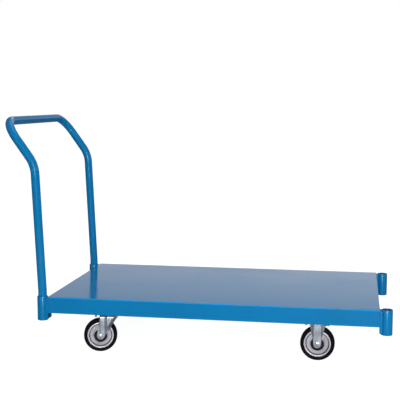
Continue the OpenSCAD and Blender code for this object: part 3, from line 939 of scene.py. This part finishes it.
def build_tyre(end, side):
    """Solid rubber tyre with round shoulders and a lip that grips the rim."""
    r, half = WHEEL_R, TYRE_HALF
    side_line = [(r - 15.4, half - 3.6), (r - 14.0, half - 3.2), (r - 13.3, half - 1.6)]
    side_line += [(r - 12.1, half - 0.6), (r - 10.2, half - 0.25), (r - 9.6, half), (r - 5, half)]
    round_line = []
    for k in range(1, 10):
        a = math.pi / 2 * k / 9
        round_line.append((r - 5.3 + 5 * math.sin(a), half - 5 + 5 * math.cos(a)))
    tread = [(r - 0.08, half - 9), (r, 0)]
    one = side_line + round_line + tread
    other = [(q, -h) for q, h in one[-2::-1]]
    bm = bmesh.new()
    add_lathe(bm, one + other, axle_place(end, side), steps=128)
    name = f"{end}_{side}_rubber_tyre"
    body = f"{end}_{side}_wheel"
    finish_mesh(bm, name, body, ["rubber"], [f"{end}_{side}_tyre"], sharp=30)


def build_rim(end, side):
    """Pressed rim: two dished discs, a deep groove, a tyre seat and a bead at each edge."""
    r = WHEEL_R
    hub_low, hub_high = box_mm("front_right_hub")
    hub = (hub_high.z - hub_low.z) / 2
    line = [
        (hub + 0.4, 10.4),
        (24, 10.4),
        (27.5, 8.4),
        (r - 23.2, 8.4),
        (r - 22.2, 5.0),
        (r - 20.6, 5.0),
        (r - 19.2, 12.4),
        (r - 16.6, 13.9),
        (r - 13.9, 13.4),
    ]
    outline = strip(line, 1.6, [0, 3, 3, 1.2, 0.7, 0.7, 1.6, 2.4, 0])
    bm = bmesh.new()
    place = axle_place(end, side)
    for hand in (-1, 1):
        add_lathe(bm, [(q, hand * h) for q, h in outline], place, steps=128)
    seat = [(r - 16.9, -12.0), (r - 15.5, -12.0), (r - 15.5, 12.0), (r - 16.9, 12.0)]
    add_lathe(bm, seat, place, steps=128)
    # Faces of the bead get a lighter finish, a painted highlight, and faces of the groove a darker one,
    # painted shade in the recess
    bead_from, groove_from = r - 19.7, r - 23.0
    axis_frame = place.inverted()
    for face in bm.faces:
        spot = axis_frame @ face.calc_center_median()
        out = math.hypot(spot.x, spot.y)
        if out > bead_from:
            face.material_index = 2
        elif out > groove_from:
            face.material_index = 1
    name = f"{end}_{side}_pressed_rim"
    body = f"{end}_{side}_wheel"
    finishes = ["rim steel", "rim groove", "rim bead highlight"]
    finish_mesh(bm, name, body, finishes, [f"{end}_{side}_rim"], sharp=38)


def build_hub(end, side):
    """Hub tube with eased ends."""
    low, high = box_mm("front_right_hub")
    outer = (high.z - low.z) / 2
    half = (high.y - low.y) / 2
    bore = outer - 3
    profile = [(bore, -half + 0.6), (bore + 0.6, -half), (outer - 0.6, -half), (outer, -half + 0.6)]
    profile += [(q, -h) for q, h in profile[::-1]]
    bm = bmesh.new()
    add_lathe(bm, profile, axle_place(end, side))
    wheel = f"{end}_{side}_wheel"
    finish_mesh(bm, f"{end}_{side}_hub_tube", wheel, ["zinc"], [f"{end}_{side}_hub"])


def add_guards(bm, end, side):
    """The two dust discs of one wheel, each with a raised rim."""
    place = axle_place(end, side)
    outer = FORK_FACE - 5.3
    for hand in (-1, 1):
        face, back = hand * outer, hand * (outer - 2)
        profile = [(8.1, back), (23.4, back), (24.2, back + hand * 0.6), (24.2, face - hand * 0.5)]
        profile += [(23.7, face), (21.6, face), (21, face - hand * 0.7), (13, face - hand * 0.7)]
        profile += [(12.4, face), (8.1, face)]
        add_lathe(bm, profile, place, steps=72)


def add_axle_bolt(bm, end, side):
    """Axle bolt, head on the outer side."""
    place = axle_place(end, side)
    add_hex(bm, AXLE_FLATS, FORK_FACE + 0.7, FORK_FACE + 6, place)
    washer = [(AXLE_R, FORK_FACE), (8.4, FORK_FACE), (8.4, FORK_FACE + 0.5)]
    washer += [(7.2, FORK_FACE + 0.8), (AXLE_R, FORK_FACE + 0.8)]
    add_lathe(bm, washer, place, steps=56)
    inward = place @ UPSIDE_DOWN
    shank = [(0, -FORK_FACE), (AXLE_R, -FORK_FACE), (AXLE_R, FORK_FACE), (0, FORK_FACE)]
    add_lathe(bm, shank, inward, steps=40)
    add_lathe(bm, thread_profile(AXLE_R, FORK_FACE, FORK_FACE + 10, 1.5, 0.65), inward, steps=40)


def add_axle_nut(bm, end, side):
    """Locking nut, on the inner side."""
    inward = axle_place(end, side) @ UPSIDE_DOWN
    add_hex(bm, AXLE_FLATS, FORK_FACE, FORK_FACE + 6.2, inward, bore=AXLE_R - 0.2, collar=1.7)


def build_axle_sets():
    """Guards, axle bolts and nuts of all four casters."""
    kinds = (
        ("thread_guards", "dust_discs", add_guards, "plastic", "guard"),
        ("axle_bolt", "axle_bolt_set", add_axle_bolt, "bright steel", "bright_steel"),
        ("axle_nut", "axle_nut_set", add_axle_nut, "bright steel", "bright_steel"),
    )
    for node, name, add, material, slot in kinds:
        plural = node if node.endswith("s") else node + "s"
        bm = bmesh.new()
        for side in SIDES:
            add(bm, "front", side)
        finish_mesh(bm, f"front_{name}", "chassis", [material], [f"front_{plural}"])
        for side in SIDES:
            bm = bmesh.new()
            add(bm, "rear", side)
            body = f"rear_{side}_swivel"
            finish_mesh(bm, f"rear_{side}_{name}", body, [material], [f"rear_{side}_{node}"])


# ---------- shared effects, as node groups ----------

COLOUR, NUMBER = "NodeSocketColor", "NodeSocketFloat"


def new_group(name, colours, numbers, outputs):
    """An empty shader node group; numbers are names with defaults, outputs are names with types."""
    group = bpy.data.node_groups.new(name, "ShaderNodeTree")
    for label in colours:
        group.interface.new_socket(name=label, in_out="INPUT", socket_type=COLOUR)
    for label, default in numbers.items():
        socket = group.interface.new_socket(name=label, in_out="INPUT", socket_type=NUMBER)
        socket.default_value = default
    for label, kind in outputs.items():
        group.interface.new_socket(name=label, in_out="OUTPUT", socket_type=kind)
    return group, group.nodes.new("NodeGroupInput"), group.nodes.new("NodeGroupOutput")


def math_node(tree, operation, first, second=None, clamp=False):
    """A math node fed with sockets or numbers; returns its result."""
    node = tree.nodes.new("ShaderNodeMath")
    node.operation = operation
    node.use_clamp = clamp
    for socket, value in zip(node.inputs, (first, second)):
        if value is None:
            continue
        if isinstance(value, (int, float)):
            socket.default_value = value
        else:
            tree.links.new(value, socket)
    return node.outputs[0]


def noise(tree, scale, detail, stretch=None):
    """Noise over the object's own coordinates; scale is a socket or a number."""
    coords = tree.nodes.new("ShaderNodeTexCoord")
    vector = coords.outputs["Object"]
    if stretch:
        mapping = tree.nodes.new("ShaderNodeMapping")
        mapping.inputs["Scale"].default_value = stretch
        tree.links.new(vector, mapping.inputs["Vector"])
        vector = mapping.outputs["Vector"]
    node = tree.nodes.new("ShaderNodeTexNoise")
    node.inputs["Detail"].default_value = detail
    tree.links.new(vector, node.inputs["Vector"])
    if isinstance(scale, (int, float)):
        node.inputs["Scale"].default_value = scale
    else:
        tree.links.new(scale, node.inputs["Scale"])
    return node.outputs["Fac"]


def colour_mix(tree, factor, first, second):
    """Mixes two colours; each argument is a socket or a value."""
    node = tree.nodes.new("ShaderNodeMix")
    node.data_type = "RGBA"
    for socket, value in zip((node.inputs[0], node.inputs[6], node.inputs[7]), (factor, first, second)):
        if isinstance(value, bpy.types.NodeSocket):
            tree.links.new(value, socket)
        else:
            socket.default_value = value
    return node.outputs[2]


def make_cloud_group():
    """Slow changes of tone and gloss over a surface."""
    numbers = {
        "Cloud Scale": 12.0,
        "Grain Scale": 400.0,
        "Grain Share": 0.3,
        "Roughness": 0.3,
        "Roughness Spread": 0.1,
    }
    outputs = {"Colour": COLOUR, "Roughness": NUMBER}
    colours = ("Colour", "Second Colour")
    group, given, result = new_group("Finish clouds", colours, numbers, outputs)
    cloud = noise(group, given.outputs["Cloud Scale"], 4.0)
    grain = noise(group, given.outputs["Grain Scale"], 2.0)
    wide = math_node(group, "SUBTRACT", cloud, 0.5)
    wide = math_node(group, "MULTIPLY", wide, 2.2)
    fine = math_node(group, "SUBTRACT", grain, 0.5)
    fine = math_node(group, "MULTIPLY", fine, given.outputs["Grain Share"])
    mask = math_node(group, "ADD", math_node(group, "ADD", wide, fine), 0.5, clamp=True)
    colour = colour_mix(group, mask, given.outputs["Colour"], given.outputs["Second Colour"])
    group.links.new(colour, result.inputs["Colour"])
    swing = math_node(group, "SUBTRACT", mask, 0.5)
    spread = math_node(group, "MULTIPLY", swing, given.outputs["Roughness Spread"])
    rough = math_node(group, "ADD", given.outputs["Roughness"], spread, clamp=True)
    group.links.new(rough, result.inputs["Roughness"])


def make_peel_group():
    """Fine surface relief: orange peel in paint, grain in plating, pebble in rubber."""
    numbers = {
        "Scale": 300.0,
        "Fine Scale": 1500.0,
        "Fine Share": 0.3,
        "Wave Scale": 6.0,
        "Wave Share": 0.0,
    }
    group, given, result = new_group("Surface relief", (), numbers, {"Height": NUMBER})
    peel = noise(group, given.outputs["Scale"], 1.0)
    grit = noise(group, given.outputs["Fine Scale"], 2.0)
    fine = math_node(group, "MULTIPLY", grit, given.outputs["Fine Share"])
    swell = noise(group, given.outputs["Wave Scale"], 1.0)
    wave = math_node(group, "MULTIPLY", swell, given.outputs["Wave Share"])
    height = math_node(group, "ADD", math_node(group, "ADD", peel, fine), wave)
    group.links.new(height, result.inputs["Height"])


def make_marks_group():
    """Fine handling marks: short scratches in two directions, as a mask."""
    numbers = {"Amount": 0.3, "Base": 0.2}
    outputs = {"Mask": NUMBER, "Roughness": NUMBER}
    group, given, result = new_group("Handling marks", (), numbers, outputs)
    one = noise(group, 1.0, 2.0, stretch=(9.0, 420.0, 60.0))
    two = noise(group, 1.0, 2.0, stretch=(380.0, 14.0, 40.0))
    where = noise(group, 5.0, 3.0)
    lines = math_node(group, "MAXIMUM", one, two)
    lines = math_node(group, "MULTIPLY", math_node(group, "SUBTRACT", lines, 0.70), 9.0, clamp=True)
    place = math_node(group, "MULTIPLY", math_node(group, "SUBTRACT", where, 0.45), 4.0, clamp=True)
    mask = math_node(group, "MULTIPLY", math_node(group, "MULTIPLY", lines, place), given.outputs["Amount"])
    group.links.new(mask, result.inputs["Mask"])
    rub = math_node(group, "MULTIPLY", mask, 0.25)
    rough = math_node(group, "ADD", given.outputs["Base"], rub, clamp=True)
    group.links.new(rough, result.inputs["Roughness"])


def place_group(tree, name, **values):
    """Places a shared effect in a material with its own values."""
    node = tree.nodes.new("ShaderNodeGroup")
    node.node_tree = bpy.data.node_groups[name]
    for label, value in values.items():
        socket = node.inputs[label.replace("_", " ")]
        if isinstance(value, bpy.types.NodeSocket):
            tree.links.new(value, socket)
        else:
            socket.default_value = value
    return node


def shade(colour, factor):
    """A colour made lighter or darker, with full alpha."""
    return (*(min(c * factor, 1.0) for c in colour), 1.0)


def new_material(name, **sockets):
    """A material with a Principled shader whose constant sockets are set."""
    material = bpy.data.materials.new(name)
    material.use_nodes = True
    shader = material.node_tree.nodes["Principled BSDF"]
    for label, value in sockets.items():
        shader.inputs[label.replace("_", " ")].default_value = value
    return material, material.node_tree, shader


def add_relief(tree, shader, strength, distance, **values):
    """Feeds the relief group into the shader's normal through a bump node."""
    relief = place_group(tree, "Surface relief", **values)
    bump = tree.nodes.new("ShaderNodeBump")
    bump.inputs["Strength"].default_value = strength
    bump.inputs["Distance"].default_value = distance
    tree.links.new(relief.outputs["Height"], bump.inputs["Height"])
    tree.links.new(bump.outputs["Normal"], shader.inputs["Normal"])


def add_clouds(tree, shader, colour, other, **values):
    """Feeds the clouds group into the shader's colour and roughness."""
    clouds = place_group(tree, "Finish clouds", Colour=colour, Second_Colour=other, **values)
    tree.links.new(clouds.outputs["Colour"], shader.inputs["Base Color"])
    tree.links.new(clouds.outputs["Roughness"], shader.inputs["Roughness"])
    return clouds


# ---------- materials ----------


def make_paint(name, colour, roughness, peel, wave):
    """Blue enamel over steel, with orange peel, slow waves and faint handling marks."""
    _, tree, shader = new_material(name, Specular_IOR_Level=0.32)
    clouds = add_clouds(
        tree,
        shader,
        shade(colour, 0.94),
        shade(colour, 1.07),
        Cloud_Scale=4.0,
        Grain_Scale=900.0,
        Grain_Share=0.15,
        Roughness=roughness,
        Roughness_Spread=0.08,
    )
    marks = place_group(tree, "Handling marks", Amount=0.35, Base=clouds.outputs["Roughness"])
    tree.links.new(marks.outputs["Roughness"], shader.inputs["Roughness"])
    worn = colour_mix(tree, marks.outputs["Mask"], clouds.outputs["Colour"], shade(colour, 1.9))
    tree.links.new(worn, shader.inputs["Base Color"])
    add_relief(
        tree,
        shader,
        0.5,
        0.00004,
        Scale=peel,
        Fine_Scale=2200.0,
        Fine_Share=0.15,
        Wave_Scale=7.0,
        Wave_Share=wave,
    )


def make_mottled(name, colour, tones, grain, gloss, relief, **sockets):
    """A mottled finish with fine relief.

    tones are its darkest and lightest factors, grain is (cloud scale, grain scale, grain share),
    gloss is (roughness, spread) and relief is (strength, distance, scale, fine scale, fine share).
    """
    _, tree, shader = new_material(name, **sockets)
    add_clouds(
        tree,
        shader,
        shade(colour, tones[0]),
        shade(colour, tones[1]),
        Cloud_Scale=grain[0],
        Grain_Scale=grain[1],
        Grain_Share=grain[2],
        Roughness=gloss[0],
        Roughness_Spread=gloss[1],
    )
    strength, distance, scale, fine_scale, fine_share = relief
    fine = {"Fine_Scale": fine_scale, "Fine_Share": fine_share}
    add_relief(tree, shader, strength, distance, Scale=scale, **fine)


def make_plated(name, colour, roughness, clouds, grain, metallic=1.0):
    """Plated or bright steel with a mottled tone and a fine grain."""
    relief = (0.35, 0.00003, grain, 4200.0, 0.5)
    mottle = (clouds, 1400.0, 0.5)
    make_mottled(name, colour, (0.82, 1.14), mottle, (roughness, 0.16), relief, Metallic=metallic)


def make_rubber(colour):
    """Solid black rubber: pebbled, with paler dusty clouds."""
    relief = (0.6, 0.00008, 900.0, 3800.0, 0.6)
    mottle = (26.0, 1800.0, 0.7)
    dull = {"Specular_IOR_Level": 0.1}
    make_mottled("rubber", colour, (0.85, 1.5), mottle, (0.55, 0.2), relief, **dull)


def make_plastic(colour):
    """Moulded black plastic with a fine spark texture."""
    relief = (0.5, 0.00005, 1600.0, 5200.0, 0.4)
    mottle = (40.0, 2400.0, 0.5)
    sheen = {"Specular_IOR_Level": 0.25}
    make_mottled("plastic", colour, (0.9, 1.8), mottle, (0.38, 0.12), relief, **sheen)


def make_materials(colours):
    """Every finish on the cart."""
    make_cloud_group()
    make_peel_group()
    make_marks_group()
    paint = tuple(colours.paint)
    make_paint("deck paint", paint, 0.12, 260.0, 16.0)
    # Lighter blue for the deck's folds: a painted highlight, not a different paint
    make_paint("fold highlight paint", shade(paint, 1.6)[:3], 0.20, 340.0, 6.0)
    make_paint("frame paint", paint, 0.20, 340.0, 6.0)
    make_paint("tube paint", paint, 0.14, 380.0, 4.0)
    make_plated("zinc", tuple(colours.zinc), 0.37, 34.0, 700.0, metallic=0.92)
    make_plated("bright steel", tuple(colours.steel), 0.36, 60.0, 1200.0)
    rim = tuple(colours.rim)
    make_plated("rim steel", rim, 0.38, 30.0, 800.0, metallic=0.55)
    # A darker copy of the rim steel for painted shade in the groove and a lighter copy for a painted
    # highlight on the bead
    make_plated("rim groove", shade(rim, 0.42)[:3], 0.5, 30.0, 800.0, metallic=0.5)
    make_plated("rim bead highlight", shade(rim, 1.3)[:3], 0.34, 30.0, 800.0, metallic=0.35)
    # Near-black finish for the inside of the sockets: painted shade
    make_plated("bare bore", (0.05, 0.05, 0.06), 0.55, 50.0, 700.0, metallic=0.6)
    make_rubber(tuple(colours.rubber))
    make_plastic(tuple(colours.plastic))


# ---------- stage ----------

AIM = (0, 0, 0.25)
FLOOR_R = 40.0
FLOOR_GLOW = 0.94  # lifts the floor to white for the camera only
SIDE_SHADE = 0.62  # how much darker the room is towards its two ends
# Brightness of the room from straight down, 0, over the horizon, 0.5, to straight up, 1
ROOM = ((0.0, 0.20), (0.50, 0.08), (0.54, 0.24), (0.575, 1.0))
ROOM += ((0.60, 0.85), (0.65, 0.28), (0.75, 0.14), (1.0, 0.30))


def make_floor():
    """A wide pale floor that shows soft contact shadows and can't be seen from below."""
    bm = bmesh.new()
    bmesh.ops.create_circle(bm, cap_ends=True, segments=128, radius=FLOOR_R)
    mesh = bpy.data.meshes.new("floor")
    bm.to_mesh(mesh)
    bm.free()
    floor = bpy.data.objects.new("floor", mesh)
    bpy.context.collection.objects.link(floor)
    floor.location.z = -0.0003
    material, tree, shader = new_material("floor", Specular_IOR_Level=0.1)
    speckle = place_group(
        tree,
        "Finish clouds",
        Colour=(0.32, 0.33, 0.34, 1),
        Second_Colour=(0.35, 0.36, 0.37, 1),
        Cloud_Scale=0.6,
        Grain_Scale=40.0,
        Roughness=0.7,
        Roughness_Spread=0.1,
    )
    tree.links.new(speckle.outputs["Colour"], shader.inputs["Base Color"])
    tree.links.new(speckle.outputs["Roughness"], shader.inputs["Roughness"])
    shader.inputs["Emission Color"].default_value = (1, 1, 1, 1)
    seen = tree.nodes.new("ShaderNodeLightPath")
    glow = math_node(tree, "MULTIPLY", seen.outputs["Is Camera Ray"], FLOOR_GLOW)
    tree.links.new(glow, shader.inputs["Emission Strength"])
    clear = tree.nodes.new("ShaderNodeBsdfTransparent")
    faces = tree.nodes.new("ShaderNodeNewGeometry")
    mix = tree.nodes.new("ShaderNodeMixShader")
    tree.links.new(faces.outputs["Backfacing"], mix.inputs[0])
    tree.links.new(shader.outputs[0], mix.inputs[1])
    tree.links.new(clear.outputs[0], mix.inputs[2])
    tree.links.new(mix.outputs[0], tree.nodes["Material Output"].inputs["Surface"])
    mesh.materials.append(material)


def make_world():
    """White to the camera; to everything else a dim room with a bright band over the horizon."""
    world = bpy.data.worlds.new("studio")
    bpy.context.scene.world = world
    world.use_nodes = True
    tree = world.node_tree
    background = tree.nodes["Background"]
    background.inputs["Strength"].default_value = 1.0
    coords = tree.nodes.new("ShaderNodeTexCoord")
    split = tree.nodes.new("ShaderNodeSeparateXYZ")
    tree.links.new(coords.outputs["Generated"], split.inputs[0])
    ramp = tree.nodes.new("ShaderNodeValToRGB")
    while len(ramp.color_ramp.elements) < len(ROOM):
        ramp.color_ramp.elements.new(0.5)
    for element, (position, level) in zip(ramp.color_ramp.elements, ROOM):
        element.position = position
        element.color = (level, level, level * 1.02, 1)
    height = math_node(tree, "MULTIPLY_ADD", split.outputs["Z"], 0.5)
    height.node.inputs[2].default_value = 0.5
    tree.links.new(height, ramp.inputs["Fac"])
    across_room = math_node(tree, "ABSOLUTE", split.outputs["X"])
    shadow = math_node(tree, "MULTIPLY", across_room, SIDE_SHADE)
    flagged = colour_mix(tree, shadow, ramp.outputs["Color"], (0.03, 0.03, 0.035, 1))
    seen = tree.nodes.new("ShaderNodeLightPath")
    colour = colour_mix(tree, seen.outputs["Is Camera Ray"], flagged, (1, 1, 1, 1))
    tree.links.new(colour, background.inputs["Color"])


def add_light(name, place, size, power):
    """A soft rectangular light at a place, aimed at the cart."""
    light = bpy.data.lights.new(name, "AREA")
    light.shape = "RECTANGLE"
    light.size, light.size_y = size
    light.energy = power
    lamp = bpy.data.objects.new(name, light)
    bpy.context.collection.objects.link(lamp)
    lamp.location = place
    lamp.rotation_euler = (Vector(AIM) - Vector(place)).to_track_quat("-Z", "Y").to_euler()
    return lamp


def build_stage(look):
    """Floor, room, lights and camera."""
    make_floor()
    make_world()
    middle = (DECK_LOW + DECK_HIGH) / 2 * MM
    yaw = look.yaw
    front = Vector((math.sin(yaw), -math.cos(yaw), 0))
    side = Vector((math.cos(yaw), math.sin(yaw), 0))
    eye = Vector(look.stand) + Vector((middle.x, middle.y, 0))
    power = look.key_power
    bulb = eye + Vector((0, 0, 0.06)) + front * 0.4
    flash = add_light("flash", bulb, (0.5, 0.8), power * 1.2)
    flash.visible_glossy = False
    glint = add_light("glint", bulb, (0.5, 0.8), power * 1.2)
    glint.visible_diffuse = False
    glinting = bpy.data.collections.new("glinting pieces")
    for piece in bpy.context.scene.objects:
        if piece.type == "MESH" and piece.name != "deck_sheet":
            glinting.objects.link(piece)
    glint.light_linking.receiver_collection = glinting
    key = add_light("key", front * 4.0 + side * 2.6 + Vector((0, 0, 2.6)), (2.6, 1.8), power * 0.8)
    key.visible_glossy = False
    add_light("top", (0.2, 0.2, 3.6), (3.0, 2.0), power * 0.4)
    add_light("rear", -front * 4.0 + Vector((0, 0, 3.6)), (2.4, 1.6), power * 0.3)
    camera = bpy.data.cameras.new("camera")
    camera.sensor_width = 36.0
    camera.lens = look.lens
    camera.clip_end = 100.0
    stand = bpy.data.objects.new("camera", camera)
    bpy.context.collection.objects.link(stand)
    stand.location = eye
    stand.rotation_euler = (math.pi / 2 - look.pitch, 0, yaw)
    bpy.context.scene.camera = stand
    bpy.context.scene.view_settings.view_transform = "Standard"


# ---------- operators ----------


class CART_OT_materials(bpy.types.Operator):
    """Makes every finish"""

    bl_idname = "cart.materials"
    bl_label = "Finishes"

    def execute(self, context):
        make_materials(context.scene.cart_colours)
        return {"FINISHED"}


class CART_OT_deck(bpy.types.Operator):
    """Builds the folded deck and its end angles"""

    bl_idname = "cart.deck"
    bl_label = "Deck"

    def execute(self, context):
        sizes = context.scene.cart_sizes
        build_deck(sizes)
        for end in ENDS:
            build_end_angle(sizes, end)
        return {"FINISHED"}


class CART_OT_underframe(bpy.types.Operator):
    """Builds the cross channels and hat rails under the deck"""

    bl_idname = "cart.underframe"
    bl_label = "Underframe"

    def execute(self, context):
        sizes = context.scene.cart_sizes
        for end in ENDS:
            build_cross_channel(sizes, end)
        for side in SIDES:
            build_hat_rail(sizes, side)
        return {"FINISHED"}


class CART_OT_sockets(bpy.types.Operator):
    """Builds the corner sockets, their rings and plates"""

    bl_idname = "cart.sockets"
    bl_label = "Corner sockets"

    def execute(self, context):
        for end, side in CORNERS:
            build_socket(context.scene.cart_sizes, end, side)
            build_corner_plate(end, side)
        build_socket_rings()
        return {"FINISHED"}


class CART_OT_welds(bpy.types.Operator):
    """Builds the weld beads of the deck and underframe"""

    bl_idname = "cart.welds"
    bl_label = "Welds"

    def execute(self, context):
        build_welds(context.scene.cart_sizes)
        return {"FINISHED"}


class CART_OT_handle(bpy.types.Operator):
    """Builds the bent-tube push handle"""

    bl_idname = "cart.handle"
    bl_label = "Push handle"

    def execute(self, context):
        build_handle(context.scene.cart_sizes)
        return {"FINISHED"}


class CART_OT_fixings(bpy.types.Operator):
    """Builds the bolts, washers and nuts that hold the casters"""

    bl_idname = "cart.fixings"
    bl_label = "Caster fixings"

    def execute(self, context):
        build_caster_bolts()
        build_caster_washers()
        build_caster_nuts()
        return {"FINISHED"}


class CART_OT_swivels(bpy.types.Operator):
    """Builds the swivel casters' plates, races, kingpins and forks"""

    bl_idname = "cart.swivels"
    bl_label = "Swivel casters"

    def execute(self, context):
        for side in SIDES:
            build_swivel_plate(side)
            build_lower_race(side)
            build_swivel_fork(context.scene.cart_sizes, side)
        build_kingpins()
        build_kingpin_nuts()
        return {"FINISHED"}


class CART_OT_fixed_casters(bpy.types.Operator):
    """Builds the fixed casters' forks"""

    bl_idname = "cart.fixed_casters"
    bl_label = "Fixed casters"

    def execute(self, context):
        for side in SIDES:
            build_fixed_fork(context.scene.cart_sizes, side)
        return {"FINISHED"}


class CART_OT_wheels(bpy.types.Operator):
    """Builds the tyres, rims and hubs"""

    bl_idname = "cart.wheels"
    bl_label = "Wheels"

    def execute(self, context):
        for end, side in CORNERS:
            build_tyre(end, side)
            build_rim(end, side)
            build_hub(end, side)
        return {"FINISHED"}


class CART_OT_axles(bpy.types.Operator):
    """Builds the axle bolts, nuts and dust discs"""

    bl_idname = "cart.axles"
    bl_label = "Axles"

    def execute(self, context):
        build_axle_sets()
        return {"FINISHED"}


class CART_OT_bearings(bpy.types.Operator):
    """Finishes the balls, rollers and sleeves of the engineering model"""

    bl_idname = "cart.bearings"
    bl_label = "Bearings"

    def execute(self, context):
        for node in frame["nodes"].values():
            if not node.hide_render:
                node.data.materials.clear()
                node.data.materials.append(bpy.data.materials["bright steel"])
        return {"FINISHED"}


class CART_OT_stage(bpy.types.Operator):
    """Sets up the floor, the lights and the camera"""

    bl_idname = "cart.stage"
    bl_label = "Studio"

    def execute(self, context):
        build_stage(context.scene.cart_stage)
        return {"FINISHED"}


STEPS = (
    CART_OT_materials,
    CART_OT_deck,
    CART_OT_underframe,
    CART_OT_sockets,
    CART_OT_welds,
    CART_OT_handle,
    CART_OT_fixings,
    CART_OT_swivels,
    CART_OT_fixed_casters,
    CART_OT_wheels,
    CART_OT_axles,
    CART_OT_bearings,
    CART_OT_stage,
)


class CART_PT_panel(bpy.types.Panel):
    """Lists the cart's sizes, colours and steps"""

    bl_idname = "CART_PT_panel"
    bl_label = "Platform Cart"
    bl_space_type = "VIEW_3D"
    bl_region_type = "UI"
    bl_category = "Cart"

    def draw(self, context):
        for group in (context.scene.cart_sizes, context.scene.cart_colours, context.scene.cart_stage):
            box = self.layout.box()
            for name in group.bl_rna.properties.keys():
                if name not in ("rna_type", "name"):
                    box.prop(group, name)
        for step in STEPS:
            self.layout.operator(step.bl_idname)


CLASSES = (CartSizes, CartColours, CartStage, *STEPS, CART_PT_panel)


def register():
    """Registers the classes and hangs the settings on the scene."""
    for cls in CLASSES:
        bpy.utils.register_class(cls)
    bpy.types.Scene.cart_sizes = bpy.props.PointerProperty(type=CartSizes)
    bpy.types.Scene.cart_colours = bpy.props.PointerProperty(type=CartColours)
    bpy.types.Scene.cart_stage = bpy.props.PointerProperty(type=CartStage)


def unregister():
    """Takes away what register() added."""
    for name in ("cart_sizes", "cart_colours", "cart_stage"):
        delattr(bpy.types.Scene, name)
    for cls in reversed(CLASSES):
        bpy.utils.unregister_class(cls)


def main():
    """Builds the cart and its studio."""
    register()
    for step in STEPS:
        module, name = step.bl_idname.split(".")
        getattr(getattr(bpy.ops, module), name)()


if __name__ == "__main__":
    main()
